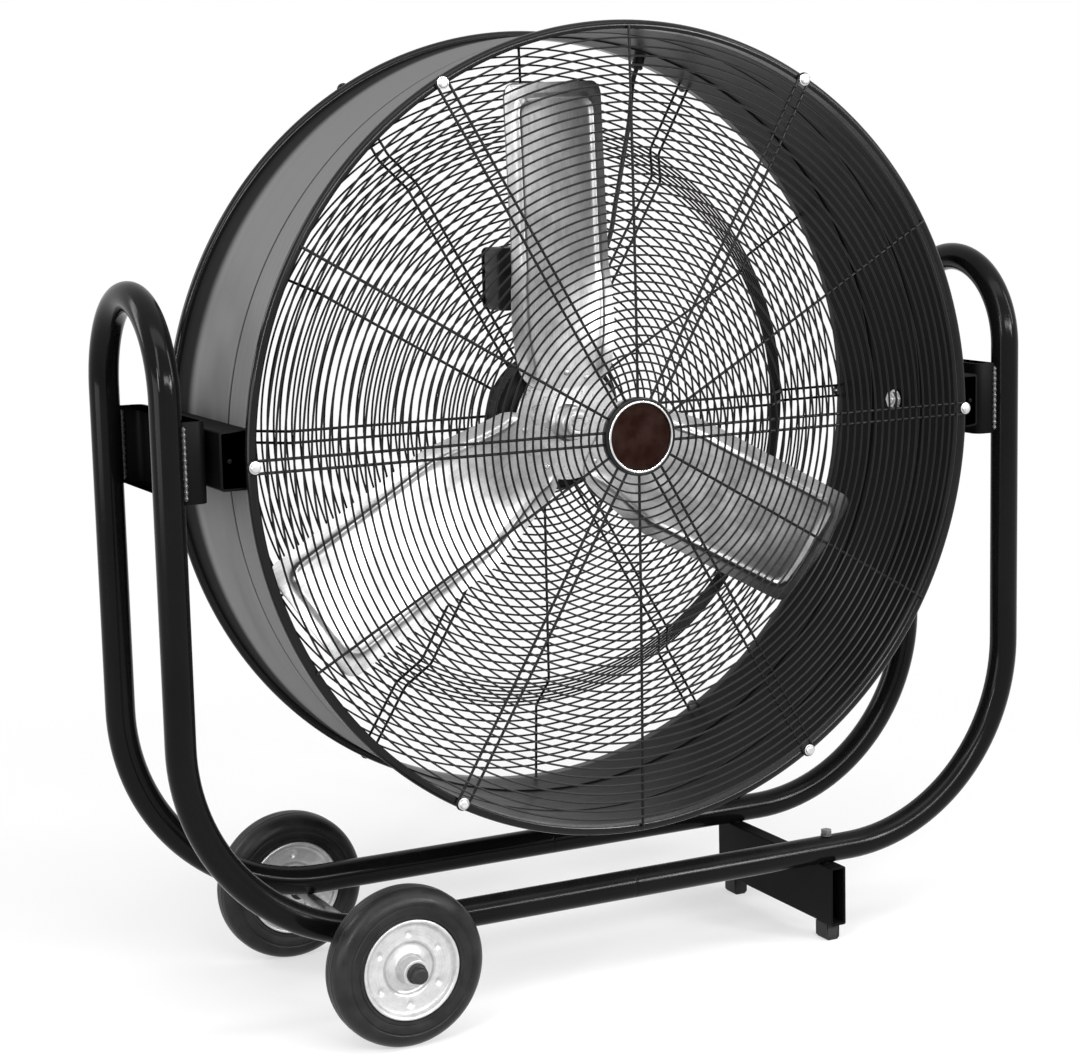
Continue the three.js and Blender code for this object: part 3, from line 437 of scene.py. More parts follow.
class Sheet(NodeBoard):
    """The nodes of one material, round a principled shader."""

    def __init__(self, name: str) -> None:
        """Starts a material with one principled shader.

        Args:
            name: the material's name.
        """
        self.material = bpy.data.materials.new(name)
        self.material.use_nodes = True
        super().__init__(self.material.node_tree)
        self.shader = self.node("ShaderNodeBsdfPrincipled")
        self.coords = self.node("ShaderNodeTexCoord").outputs["Object"]
        self.surface = self.node("ShaderNodeOutputMaterial").inputs["Surface"]
        self.link(self.shader.outputs["BSDF"], self.surface)

    def own_coords(self) -> bpy.types.NodeSocket:
        """Returns the piece's own coordinates, in millimetres along its surface."""
        return self.node("ShaderNodeAttribute", attribute_name="local").outputs["Vector"]

    def stretched(self, coords: bpy.types.NodeSocket, scale: Sequence[float]) -> bpy.types.NodeSocket:
        """Returns coordinates multiplied by a factor along each axis."""
        mapping = self.node("ShaderNodeMapping")
        mapping.inputs["Scale"].default_value = scale
        self.link(coords, mapping.inputs["Vector"])
        return mapping.outputs["Vector"]

    def noise(self, coords: bpy.types.NodeSocket, scale: float, detail: float = 3.0,
              rough: float = 0.55) -> bpy.types.NodeSocket:
        """Returns noise of that scale over the coordinates."""
        made = self.node("ShaderNodeTexNoise")
        made.inputs["Scale"].default_value = scale
        made.inputs["Detail"].default_value = detail
        made.inputs["Roughness"].default_value = rough
        self.link(coords, made.inputs["Vector"])
        return made.outputs["Fac"]

    def flakes(self, coords: bpy.types.NodeSocket, scale: float) -> bpy.types.NodeSocket:
        """Returns the random grey of Voronoi cells of that scale."""
        made = self.node("ShaderNodeTexVoronoi")
        made.inputs["Scale"].default_value = scale
        self.link(coords, made.inputs["Vector"])
        return self.part(made.outputs["Color"], "X")

    def part(self, vector: bpy.types.NodeSocket, axis: str) -> bpy.types.NodeSocket:
        """Returns one component of a vector output."""
        split = self.node("ShaderNodeSeparateXYZ")
        self.link(vector, split.inputs["Vector"])
        return split.outputs[axis]

    def spread(self, value: bpy.types.NodeSocket, low: float, high: float, to_low: float,
               to_high: float) -> bpy.types.NodeSocket:
        """Returns value mapped smoothly from low..high to to_low..to_high and held there."""
        made = self.node("ShaderNodeMapRange", interpolation_type="SMOOTHSTEP")
        ends = {"From Min": low, "From Max": high, "To Min": to_low, "To Max": to_high}
        for key, number in ends.items():
            made.inputs[key].default_value = number
        self.link(value, made.inputs["Value"])
        return made.outputs["Result"]

    def shades(self, value: bpy.types.NodeSocket, first: Sequence[float],
               second: Sequence[float]) -> bpy.types.NodeSocket:
        """Returns a colour between two, mixed by value."""
        made = self.node("ShaderNodeMix", data_type="RGBA")
        self.link(value, made.inputs[0])
        made.inputs[6].default_value = (*first, 1.0)
        made.inputs[7].default_value = (*second, 1.0)
        return made.outputs[2]

    def bump(self, height: bpy.types.NodeSocket, depth: float, strength: float = 1.0,
             under: Optional[bpy.types.NodeSocket] = None) -> bpy.types.NodeSocket:
        """Returns the normal of a surface raised by height times depth, in metres."""
        made = self.node("ShaderNodeBump")
        made.inputs["Distance"].default_value = depth
        made.inputs["Strength"].default_value = strength
        self.link(height, made.inputs["Height"])
        if under is not None:
            self.link(under, made.inputs["Normal"])
        return made.outputs["Normal"]

    def set(self, **values: object) -> None:
        """Sets or links sockets of the shader by name, with _ for a space."""
        for key, value in values.items():
            self.feed(self.shader.inputs[key.replace("_", " ")], value)


def grey(level: float) -> tuple[float, float, float]:
    """Returns a linear grey."""
    return (level, level, level)


@dataclass(frozen=True)
class GlossPaint:
    """Sprayed gloss paint: faint orange peel, small changes of gloss, dust on what faces up."""

    name: str
    level: float
    roughness: float
    specular: float
    coat: float
    peel: float = 0.00004
    dust: float = 0.02

    def build(self) -> bpy.types.Material:
        """Returns the material."""
        s = Sheet(self.name)
        cloud = s.noise(s.coords, 6.0, 4.0)
        fine = s.noise(s.coords, 420.0, 2.0)
        upward = s.spread(s.part(s.node("ShaderNodeNewGeometry").outputs["Normal"], "Z"), 0.2, 1.0, 0.0, 1.0)
        settled = s.calc("MULTIPLY", upward, s.noise(s.coords, 45.0, 6.0, 0.7))
        tone = s.calc("MULTIPLY_ADD", s.spread(cloud, 0.3, 0.7, 0.0, 1.0), 0.25, settled)
        gloss = s.spread(cloud, 0.25, 0.75, self.roughness - 0.04, self.roughness + 0.06)
        s.set(Base_Color=s.shades(tone, grey(self.level), grey(self.level + self.dust)),
              Roughness=s.calc("MULTIPLY_ADD", settled, 0.22, gloss), Normal=s.bump(fine, self.peel),
              Specular_IOR_Level=self.specular, Coat_Weight=self.coat, Coat_Roughness=0.08)
        return s.material


@dataclass(frozen=True)
class RolledSheetPaint:
    """Paint on rolled sheet: long waves bend what it mirrors, and painted shade darkens a groove and one end.

    Attributes:
        name: the material's name.
        level: grey of the plain wall. A grey well above black is a painted reflection of pale surroundings on
            black paint.
        roughness: lowest roughness.
        specular: how strongly it mirrors.
        streaks: how much lighter the lightest streaks round the wall are.
        painted_shade_from: y from which painted shade darkens the wall, over the length of fade; past the
            wall is none.
        groove_y: y of the groove that painted shade darkens; past the wall is none.
        wave: depth of the waves, in metres.
        fade: length over which the painted shade comes in.
        painted_shade_share: the grey of the painted shade as a share of the level.
    """

    name: str
    level: float
    roughness: float
    specular: float
    streaks: float = 0.3
    painted_shade_from: float = 400.0
    groove_y: float = 400.0
    wave: float = 0.0006
    fade: float = 30.0
    painted_shade_share: float = 0.05

    def build(self) -> bpy.types.Material:
        """Returns the material."""
        s = Sheet(self.name)
        own = s.own_coords()
        bands = s.noise(s.stretched(own, (0.0, 0.11, 0.35)), 1.0, 3.0)
        waves = s.noise(s.coords, 4.5, 2.0)
        fine = s.noise(s.coords, 300.0, 2.0)
        tone = s.spread(bands, 0.3, 0.7, 0.0, 1.0)
        gloss = s.spread(waves, 0.3, 0.7, self.roughness, self.roughness + 0.05)
        along = s.part(own, "Y")
        # Painted shade: plain falls to 0 past painted_shade_from and to 0.15 at the groove, pulling the base
        # colour towards the dark grey; the plain grey itself is a painted reflection.
        from_groove = s.calc("ABSOLUTE", s.calc("SUBTRACT", along, self.groove_y))
        plain = s.calc("MULTIPLY", s.spread(along, self.painted_shade_from, self.painted_shade_from + self.fade, 1.0, 0.0),
                      s.spread(from_groove, 1.8, 3.8, 0.15, 1.0))
        share = s.calc("MULTIPLY", plain, s.spread(tone, 0.0, 1.0, 1 / (1 + self.streaks), 1.0))
        dark, light = grey(self.level * self.painted_shade_share), grey(self.level * (1 + self.streaks))
        s.set(Base_Color=s.shades(share, dark, light),
              Roughness=s.calc("MULTIPLY_ADD", tone, 0.06, gloss), Specular_IOR_Level=self.specular,
              Normal=s.bump(fine, 0.00003, 1.0, s.bump(waves, self.wave)))
        return s.material


@dataclass(frozen=True)
class SatinAluminium:
    """Rolled aluminium sheet: fine streaks along the blade, soft blotches, small dark specks."""

    name: str
    level: float
    roughness: float

    def build(self) -> bpy.types.Material:
        """Returns the material."""
        s = Sheet(self.name)
        own = s.own_coords()
        streak = s.noise(s.stretched(own, (1.4, 0.02, 1.0)), 1.0, 4.0, 0.7)
        blotch = s.noise(s.stretched(own, (0.022, 0.016, 0.02)), 1.0, 5.0, 0.6)
        speck = s.noise(s.stretched(own, (0.12, 0.09, 0.1)), 1.0, 4.0, 0.75)
        tone = s.calc("ADD", s.spread(streak, 0.3, 0.7, -0.25, 0.25), s.spread(blotch, 0.3, 0.72, 0.0, 1.0))
        worn = s.calc("MULTIPLY", tone, s.spread(speck, 0.3, 0.45, 0.7, 1.0))
        s.set(Base_Color=s.shades(worn, grey(self.level * 0.55), grey(self.level * 1.15)), Metallic=1.0,
              Roughness=s.spread(blotch, 0.25, 0.75, self.roughness + 0.1, self.roughness - 0.06),
              Normal=s.bump(streak, 0.00005, 1.0, s.bump(blotch, 0.0004)))
        return s.material


@dataclass(frozen=True)
class BrightPlate:
    """Bright zinc or nickel on steel: small flakes and slight clouding."""

    name: str
    level: float = 0.6
    roughness: float = 0.3

    def build(self) -> bpy.types.Material:
        """Returns the material."""
        s = Sheet(self.name)
        flake = s.flakes(s.coords, 900.0)
        cloud = s.noise(s.coords, 60.0, 4.0)
        tone = s.calc("MULTIPLY_ADD", flake, 0.25, s.spread(cloud, 0.3, 0.7, 0.0, 0.75))
        s.set(Base_Color=s.shades(tone, grey(self.level * 0.75), grey(self.level * 1.2)), Metallic=1.0,
              Roughness=s.spread(cloud, 0.3, 0.7, self.roughness + 0.08, self.roughness - 0.05),
              Normal=s.bump(cloud, 0.0001))
        return s.material


@dataclass(frozen=True)
class WheelSteel:
    """Pale wheel disc: rings left by spinning, and scuffs."""

    name: str
    level: float = 0.5

    def build(self) -> bpy.types.Material:
        """Returns the material."""
        s = Sheet(self.name)
        rings = s.noise(s.stretched(s.own_coords(), (0.9, 0.9, 0.0)), 1.0, 4.0, 0.7)
        scuff = s.noise(s.coords, 90.0, 5.0, 0.65)
        tone = s.calc("ADD", s.spread(rings, 0.3, 0.7, 0.0, 0.6), s.spread(scuff, 0.35, 0.65, 0.0, 0.4))
        s.set(Base_Color=s.shades(tone, grey(self.level * 0.7), grey(self.level * 1.15)), Metallic=0.55,
              Roughness=s.spread(scuff, 0.3, 0.7, 0.42, 0.3), Normal=s.bump(rings, 0.0002))
        return s.material


@dataclass(frozen=True)
class MouldedRubber:
    """Dull rubber: fine grain, grey bloom and darker rubbed places."""

    name: str
    level: float
    roughness: float
    bloom: float
    specular: float = 0.35

    def build(self) -> bpy.types.Material:
        """Returns the material."""
        s = Sheet(self.name)
        grain = s.noise(s.coords, 700.0, 3.0)
        cloud = s.noise(s.coords, 22.0, 5.0, 0.62)
        bloom = s.spread(cloud, 0.35, 0.7, 0.0, 1.0)
        s.set(Base_Color=s.shades(bloom, grey(self.level), grey(self.level + self.bloom)),
              Roughness=s.spread(cloud, 0.3, 0.7, self.roughness - 0.1, self.roughness + 0.08),
              Normal=s.bump(grain, 0.00012, 1.0, s.bump(cloud, 0.0003)), Specular_IOR_Level=self.specular)
        return s.material


@dataclass(frozen=True)
class MouldedPlastic:
    """Injection-moulded plastic with a fine etched grain."""

    name: str
    colour: tuple[float, float, float]
    specular: float
    roughness: float = 0.45
    grain: float = 0.00006

    def build(self) -> bpy.types.Material:
        """Returns the material."""
        s = Sheet(self.name)
        etched = s.flakes(s.coords, 1500.0)
        cloud = s.noise(s.coords, 40.0, 3.0)
        lighter = tuple(c * 1.5 + 0.004 for c in self.colour)
        s.set(Base_Color=s.shades(s.spread(cloud, 0.3, 0.7, 0.0, 1.0), self.colour, lighter),
              Roughness=s.spread(cloud, 0.3, 0.7, self.roughness - 0.05, self.roughness + 0.07),
              Normal=s.bump(etched, self.grain), Specular_IOR_Level=self.specular)
        return s.material


class Finish(Enum):
    """Every finish on the fan, built once."""

    FRAME = GlossPaint("frame_gloss_black", 0.0025, 0.15, specular=0.085, coat=0.02, dust=0.004)
    PRESSED = GlossPaint("pressed_steel_black", 0.0025, 0.45, specular=0.05, coat=0.0, dust=0.003)
    WELD = GlossPaint("painted_weld", 0.04, 0.3, specular=0.6, coat=0.3, peel=0.0003)
    # drum_outside: its grey is a painted reflection of pale surroundings on the black drum; painted shade
    # darkens it from y 72 towards the rear rim and in the front groove at y -62.
    DRUM_OUT = RolledSheetPaint("drum_outside", 0.138, 0.62, 0.04, 0.06, painted_shade_from=72.0, groove_y=-62.0)
    DRUM_IN = RolledSheetPaint("drum_inside", 0.002, 0.28, 0.045)
    DRUM_RIM = GlossPaint("rolled_rim", 0.004, 0.18, specular=0.14, coat=0.05, dust=0.006)
    WIRE = GlossPaint("guard_wire_coat", 0.004, 0.3, specular=0.14, coat=0.03, dust=0.008)
    BLADE = SatinAluminium("blade_sheet", 0.54, 0.33)
    ZINC = BrightPlate("zinc_plate")
    CHROME = BrightPlate("badge_ring_bright", 0.68, 0.16)
    WHEEL = WheelSteel("wheel_disc")
    TYRE = MouldedRubber("tyre_moulding", 0.009, 0.36, 0.008, 0.16)
    RUBBER = MouldedRubber("pad_rubber", 0.012, 0.8, 0.01)
    LEAD = MouldedRubber("lead_rubber", 0.01, 0.55, 0.006)
    MOTOR = GlossPaint("motor_enamel", 0.005, 0.4, specular=0.1, coat=0.0, peel=0.0002, dust=0.006)
    PLASTIC = MouldedPlastic("moulded_black", (0.009, 0.009, 0.0095), 0.25)
    BADGE = MouldedPlastic("badge_brown", (0.008, 0.0026, 0.0016), 0.03, 0.2, 0.00001)

    def material(self) -> bpy.types.Material:
        """Returns this finish's material, made at its first use."""
        return bpy.data.materials.get(self.value.name) or self.value.build()


# ------------------------------------------------------------------------------------ pieces
def linked(thing: bpy.types.ID, name: str) -> bpy.types.Object:
    """Returns a new object that shows a mesh, lamp or camera, linked to the scene."""
    made = bpy.data.objects.new(name, thing)
    bpy.context.scene.collection.objects.link(made)
    return made


def make_object(name: str, shape: Shape, crease: float) -> bpy.types.Object:
    """Puts a shape into a mesh object at the origin.

    Args:
        name: the object's name.
        shape: the shape, in millimetres.
        crease: edges sharper than this many degrees stay sharp.

    Returns:
        The linked object, in metres.
    """
    shape = shape.outward()
    mesh = bpy.data.meshes.new(name)
    polygons = [row for f in shape.faces for row in f.tolist()]
    mesh.from_pydata((shape.points * MM).tolist(), [], polygons)
    tags = np.concatenate([np.full(len(f), t) for f, t in zip(shape.faces, shape.tags)])
    mesh.polygons.foreach_set("material_index", tags.astype(np.int32))
    own = mesh.attributes.new("local", "FLOAT_VECTOR", "POINT")
    own.data.foreach_set("vector", shape.local.astype(np.float32).ravel())
    work = bmesh.new()
    work.from_mesh(mesh)
    bmesh.ops.remove_doubles(work, verts=work.verts, dist=2e-6)
    bmesh.ops.dissolve_degenerate(work, edges=work.edges, dist=1e-7)
    work.to_mesh(mesh)
    work.free()
    mesh.shade_smooth()
    mesh.set_sharp_from_angle(angle=math.radians(crease))
    return linked(mesh, name)


def fit(name: str, shape: Shape, finishes: Sequence[Finish], body: str,
        nodes: Sequence[str] = (), crease: float = 35.0) -> bpy.types.Object:
    """Makes a piece, gives it its finishes and fixes it to its body.

    Args:
        name: the piece's name.
        shape: its shape in millimetres.
        finishes: its finishes, in the order of the shape's tags.
        body: the body it moves with.
        nodes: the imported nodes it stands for.
        crease: edges sharper than this many degrees stay sharp.

    Returns:
        The piece.
    """
    piece = make_object(name, shape, crease)
    for finish in finishes:
        piece.data.materials.append(finish.material())
    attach(piece, body)
    if nodes:
        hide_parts(*nodes)
    LOG.info("%s: %d faces on %s", name, len(piece.data.polygons), body)
    return piece


SIDES = (("left", -1), ("right", 1))
ENDS = (("front", -1), ("rear", 1))


@dataclass
class Layout:
    """Sizes that several sub-assemblies share: the drum's axis, the tube, the drum and the wheels."""

    axis_z: float = 767.4
    clear: float = 0.3
    tube_r: float = 20.0
    run_z: float = 133.53
    half_x: float = 643.0
    half_y: float = 127.0
    web_x: float = 595.7
    drum_r: float = 541.0
    wall: float = 2.5
    half_depth: float = 162.0
    guard_r: float = 543.0
    guard_seat: float = 164.3
    wheel_r: float = 107.0
    wheel_x: float = -381.0
    wheel_y: float = 208.0
    tyre_width: float = 54.0
    foot_x: float = 325.0

    def on_axis(self, shape: Shape) -> Shape:
        """Returns a shape made round the origin, raised to the drum's axis."""
        return shape.moved((0, 0, self.axis_z))


@dataclass
class Assembly(ABC):
    """One sub-assembly of the fan.

    Attributes:
        at: the sizes that it shares with the others.
    """

    at: Layout

    @abstractmethod
    def build(self) -> None:
        """Makes the sub-assembly's pieces and fixes them to their bodies."""


@dataclass
class TubeFrame(Assembly):
    """Two bent tubes that meet under the drum, with the brackets that carry it."""

    bend_r: float = 280.0
    arch_rise: float = 210.0
    plate_height: float = 104.0
    plate_lift: float = 7.0
    plate_t: float = 5.0
    corner_r: float = 9.0
    bead_r: float = 3.2
    bead_pitch: float = 8.0
    bead_rings: int = 8
    bead_out: float = 1.4
    bead_sink: float = 1.0
    bead_short: float = 10.0

    def tube(self) -> Shape:
        """Returns the right half's tube: along the run, up, over the handle, down and back."""
        a = self.at
        x, y, top = a.half_x, a.half_y, a.axis_z + self.arch_rise
        corners = [(a.clear / 2, -y, a.run_z), (x, -y, a.run_z), (x, -y, top), (x, y, top), (x, y, a.run_z),
                   (a.clear / 2, y, a.run_z)]
        path = bent_path(corners, [self.bend_r, y, y, self.bend_r], 36)
        from_end, eased = np.array([0, 0.12, 0.4, 3.0]), np.array([0.4, 0.12, 0, 0])
        start, end = (tip + np.outer(from_end, X_AXIS) for tip in (path[0], path[-1]))
        path = np.concatenate([start, path[1:-1], end[::-1]])
        scale = np.ones(len(path))
        scale[:4] = 1 - eased / a.tube_r
        scale[-4:] = scale[3::-1]
        return sweep(path, circle(a.tube_r, 48), unit(np.array([-1.0, 0.0, 1.0])), scale=scale)

    def weld(self, x: float, y: float, height: float) -> Shape:
        """An upright weld bead of overlapping ripples.

        Its radius at height z is r (0.6 + 0.4 |sin(pi z / pitch)|), drawn in over the last r to both ends.

        Args:
            x: place of its middle.
            y: place of its middle.
            height: its length, centred on the bracket.

        Returns:
            The bead.
        """
        z = np.linspace(-height / 2, height / 2, int(height / self.bead_pitch * self.bead_rings))
        path = np.stack([np.full_like(z, x), np.full_like(z, y), z + self.at.axis_z + self.plate_lift], -1)
        ends = np.clip((height / 2 - np.abs(z)) / self.bead_r, 0.05, 1) ** 0.5
        scale = ends * (0.6 + 0.4 * np.abs(np.sin(np.pi * z / self.bead_pitch)))
        return sweep(path, circle(self.bead_r, 10), X_AXIS, scale=scale)

    def bracket(self) -> Shape:
        """Returns the right bracket: a channel from the uprights in to a web beside the drum."""
        a, t, r = self.at, self.plate_t, self.corner_r
        outer, web, y = a.half_x - a.tube_r - a.clear, a.web_x, a.half_y
        corners = [(outer, -y - t / 2), (outer, -y + t / 2), (web, -y + t / 2), (web, y - t / 2),
                   (outer, y - t / 2), (outer, y + t / 2), (web - t, y + t / 2), (web - t, -y - t / 2)]
        outline = softened(corners, [0.4, 0.4, r, r, 0.4, 0.4, r + t, r + t], 6)
        half = self.plate_height / 2
        return slab(outline, -half, half, 0.9, Z_UP).moved((0, 0, a.axis_z + self.plate_lift))

    def build(self) -> None:
        """Makes the frame's pieces on the base."""
        a = self.at
        bead_x, bead_y = a.half_x - a.tube_r - self.bead_sink, self.plate_t / 2 + self.bead_out
        welds = joined([self.weld(bead_x, y + dy, self.plate_height - self.bead_short)
                        for y in (-a.half_y, a.half_y) for dy in (-bead_y, bead_y)])
        for word, side in SIDES:
            fit(f"frame_tube_{word}", self.tube().on_side(side), [Finish.FRAME], "base",
                [f"frame_{word}"])
            fit(f"bracket_{word}", self.bracket().on_side(side), [Finish.PRESSED], "base",
                [f"pivot_bracket_{word}"])
            fit(f"welds_{word}", welds.on_side(side), [Finish.WELD], "base")


@dataclass
class Pivots(Assembly):
    """Bolt, nut and rubber washer on each side, and the saddle on the drum that they clamp.

    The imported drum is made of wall_flats flat stretches, and the nut sits on one of them.
    """

    saddle_x: float = 581.0
    saddle_t: float = 4.0
    saddle_half_y: float = 144.3
    saddle_half_z: float = 38.0
    saddle_lift: float = 8.0
    washer_r: float = 24.0
    washer_t: float = 9.1
    head_r: float = 13.0
    head_t: float = 9.0
    bolt_r: float = 8.0
    bolt_end_x: float = 525.4
    thread_pitch: float = 2.0
    thread_turns: int = 10
    nut_t: float = 7.6
    rivet_inset: float = 13.0
    wall_flats: int = 38

    def saddle(self) -> Shape:
        """Returns the right saddle: a box open to the drum's wall, with a rivet in each end."""
        a, t, x = self.at, self.saddle_t, self.saddle_x
        low, high = self.saddle_lift - self.saddle_half_z, self.saddle_lift + self.saddle_half_z
        seat = a.drum_r + a.clear

        def wall(z: np.ndarray) -> np.ndarray:
            """Returns how far out the drum's wall is at a height."""
            return np.sqrt(seat * seat - z * z)

        corners = [(high, wall(high)), (high, x), (low, x), (low, wall(low)), (low + t, wall(low + t)),
                   (low + t, x - t), (high - t, x - t), (high - t, wall(high - t))]
        outline = softened(corners, [0.3, t + 1, t + 1, 0.3, 0.3, 1.2, 1.2, 0.3], 5)
        y = self.saddle_half_y
        pieces = [slab(outline, -y, y, 0.7, Y_UP)]
        z = np.linspace(low + 1, high - 1, 12)
        lid_top = [(high - 1, x - 2.5), (high - 2.5, x - 1), (low + 2.5, x - 1), (low + 1, x - 2.5)]
        lid = np.concatenate([np.stack([z, wall(z)], -1), lid_top])
        rivet = turned([(0, 0), (3.2, 0), (3.0, -1.0), (2.0, -1.5), (0, -1.7)], 20, closed=False)
        for side in (-1, 1):
            near, far = sorted((side * (y - 0.5), side * (y - 0.5 - t)))
            place = (x - self.rivet_inset, side * (y - 0.8), self.saddle_lift)
            pieces += [slab(lid, near, far, 0.3, Y_UP), rivet.at_end(-side).moved(place)]
        return joined(pieces)

    def hex_head(self, start: float, thickness: float) -> Shape:
        """Returns a six-sided head along X with a rounded chamfer."""
        return slab(circle(self.head_r, 6), start, start + thickness, 0.9, X_UP, 3)

    def bolt(self) -> Shape:
        """Returns the right pivot bolt with its washer face and threaded end."""
        end, web, turns = self.bolt_end_x, self.at.web_x, self.thread_turns
        shank = slab(circle(self.bolt_r, 32), end, web + 1, 0.8, X_UP)
        x = np.linspace(end + 1, end + 1 + self.thread_pitch * turns, turns * 24)
        angle = 2 * np.pi * (x - x[0]) / self.thread_pitch
        r = self.bolt_r - 0.35
        path = np.stack([x, r * np.cos(angle), r * np.sin(angle)], -1)
        thread = sweep(path, circle(0.5, 5), X_AXIS)
        face = slab(circle(self.head_r - 1.2, 32), web + 0.3, web + 1.4, 0.3, X_UP)
        return joined([shank, thread, face, self.hex_head(web + 1.3, self.head_t - 1.0)])

    def nut(self) -> Shape:
        """Returns the right clamp nut with its flange, on the flat inside of the drum's wall."""
        flat = (self.at.drum_r - self.at.wall) * math.cos(math.pi / self.wall_flats) - self.at.clear
        flange = slab(circle(self.head_r + 1.5, 40), flat - 1.4, flat, 0.3, X_UP)
        return joined([self.hex_head(flat - 9.0, self.nut_t), flange])

    def washer(self) -> Shape:
        """Returns the right rubber washer between the saddle and the bracket."""
        near = self.saddle_x + self.at.clear
        return slab(circle(self.washer_r, 56), near, near + self.washer_t, 1.8, X_UP, 4)

    def build(self) -> None:
        """Makes the pivots on the base and the saddles on the drum."""
        for word, side in SIDES:
            for name, shape, finish, body, slot, node in (
                    ("pivot_screw", self.bolt(), Finish.ZINC, "base", "zinc_steel", "pivot_bolt"),
                    ("clamp_nut", self.nut(), Finish.ZINC, "base", "zinc_steel", "pivot_nut"),
                    ("friction_disc", self.washer(), Finish.RUBBER, "base", "black_rubber", "pivot_washer"),
                    ("saddle", self.saddle(), Finish.PRESSED, "drum", "frame_paint", "drum_saddle")):
                placed = self.at.on_axis(shape).on_side(side)
                fit(f"{name}_{word}", placed, [finish], body, [f"{node}_{word}"])


@dataclass
class Wheels(Assembly):
    """Two rubber-tyred wheels on one axle, held on by push caps."""

    rim_r: float = 67.0
    bush_r: float = 13.5
    bush_half: float = 40.0
    axle_r: float = 8.0
    cap_r: float = 13.0
    cap_length: float = 14.0
    shoulder_r: float = 22.0
    dimple_count: int = 6
    dimple_r: float = 4.0
    dimple_ring_r: float = 47.5

    def tyre(self) -> Shape:
        """Returns a tyre: shallow tread grooves, full shoulders and rings moulded on its sides."""
        r, half, seat, c = self.at.wheel_r, self.at.tyre_width / 2, self.rim_r + 0.3, self.shoulder_r
        u = np.linspace(-1, 1, 49)
        groove = sum(np.exp(-((u - middle) / 0.045) ** 4) for middle in (-0.66, -0.22, 0.22, 0.66))
        flat = half - c + 7.0
        crown = np.sqrt(c * c - np.clip(np.abs(flat * u) - (half - c), 0, None) ** 2) - c
        tread = np.stack([r + crown - 1.2 * groove - 0.3, flat * u], -1)
        shoulder = arc((r - c, half - c), c, 22, 80, 12)
        side = [(r - 20.0, half - 0.6), (r - 20.8, half - 1.3), (r - 22.2, half - 1.2),
                (r - 23.0, half - 0.3), (r - 26.5, half - 0.2), (r - 30.0, half - 0.9),
                (seat + 6.0, half - 1.9), (seat + 5.2, half - 0.9), (seat + 2.0, half - 1.2),
                (seat + 0.6, half - 3.0), (seat, half - 8.0)]
        near = np.concatenate([shoulder, side])
        return turned(np.concatenate([near[::-1] * [1, -1], tread, near]), 144)

    def disc_profile(self) -> np.ndarray:
        """Returns the outer face's section of the wheel disc, from the bush out to the lip."""
        b, lip = self.bush_r, self.at.tyre_width / 2 - 1.5
        collar = [(b + 0.3, 39.0), (b + 3.2, 39.2), (b + 4.0, 38.5), (b + 4.6, 22.0), (b + 7.0, 15.6)]
        hollow = [(26.0, 12.6), (31.0, 11.2), (33.6, 12.2), (35.4, 15.0), (37.6, 16.2)]
        flat = [(44.0, 16.4), (52.0, 17.2), (57.0, 17.6), (59.6, 18.6), (61.4, 21.2)]
        rim = [(62.6, lip - 1.4), (64.2, lip - 0.3), (65.8, lip - 0.1), (self.rim_r, lip - 1.0)]
        return np.array(collar + hollow + flat + rim)

    def disc(self) -> Shape:
        """Returns the pressed disc: both faces of its section, with dimples pressed round the hub."""
        face = self.disc_profile()
        fine = []
        for (r0, y0), (r1, y1) in zip(face[:-1], face[1:]):
            n = max(2, int(math.hypot(r1 - r0, y1 - y0) / 0.9))
            t = np.linspace(0, 1, n, endpoint=False)[:, None]
            fine.append(np.array([r0, y0]) * (1 - t) + np.array([r1, y1]) * t)
        near = np.concatenate(fine + [face[-1:]])
        shape = turned(np.concatenate([near, near[::-1] * [1, -1]]), 160)
        r, angle = shape.local[:, 0], shape.local[:, 2]
        step = 2 * np.pi / self.dimple_count
        off = (angle + step / 2) % step - step / 2
        away = np.hypot(r - self.dimple_ring_r, self.dimple_ring_r * off)
        shape.points[:, 1] *= 1 - 0.2 * np.exp(-(away / self.dimple_r) ** 2)
        return shape

    def bush(self) -> Shape:
        """Returns the bush that turns on the axle."""
        bore, r, y = self.axle_r + 0.4, self.bush_r, self.bush_half
        return turned([(bore, -y), (r - 1, -y), (r, 1 - y), (r, y - 1), (r - 1, y), (bore, y)], 56)

    def cap(self) -> Shape:
        """Returns the rear push cap with its flange and domed end."""
        near, far = self.bush_half + self.at.clear, self.bush_half + self.cap_length
        bore, r = self.axle_r + self.at.clear, self.cap_r
        flange = [(bore, near), (r - 0.6, near), (r, near + 0.6), (r, near + 2.4), (r - 0.8, near + 3.0),
                  (r - 1.6, near + 3.6)]
        dome = arc((r - 6.6, far - 5.0), 5.0, 0, 90, 8)
        return turned(np.concatenate([flange, dome, [(0, far), (0, far - 3.0), (bore, far - 3.0)]]), 48)

    def build(self) -> None:
        """Makes both wheels and the axle."""
        a = self.at
        reach = a.wheel_y + self.bush_half + self.cap_length - 3.3
        axle = slab(circle(self.axle_r, 40), -reach, reach, 1.0, Y_UP)
        fit("axle_rod", axle.moved((a.wheel_x, 0, a.wheel_r)), [Finish.ZINC], "base", ["axle"])
        for word, side in ENDS:
            place = (a.wheel_x, side * a.wheel_y, a.wheel_r)
            body = f"{word}_wheel"
            fit(f"tyre_ring_{word}", self.tyre().moved(place), [Finish.TYRE], body,
                [f"tyre_{word}"])
            fit(f"wheel_disc_{word}", self.disc().moved(place), [Finish.WHEEL], body,
                [f"wheel_{word}"], crease=50)
            fit(f"bush_{word}", self.bush().moved(place), [Finish.PLASTIC], body,
                [f"wheel_bush_{word}"])
            fit(f"push_cap_{word}", self.cap().at_end(side).moved(place), [Finish.PLASTIC], "base",
                [f"axle_cap_{word}"])


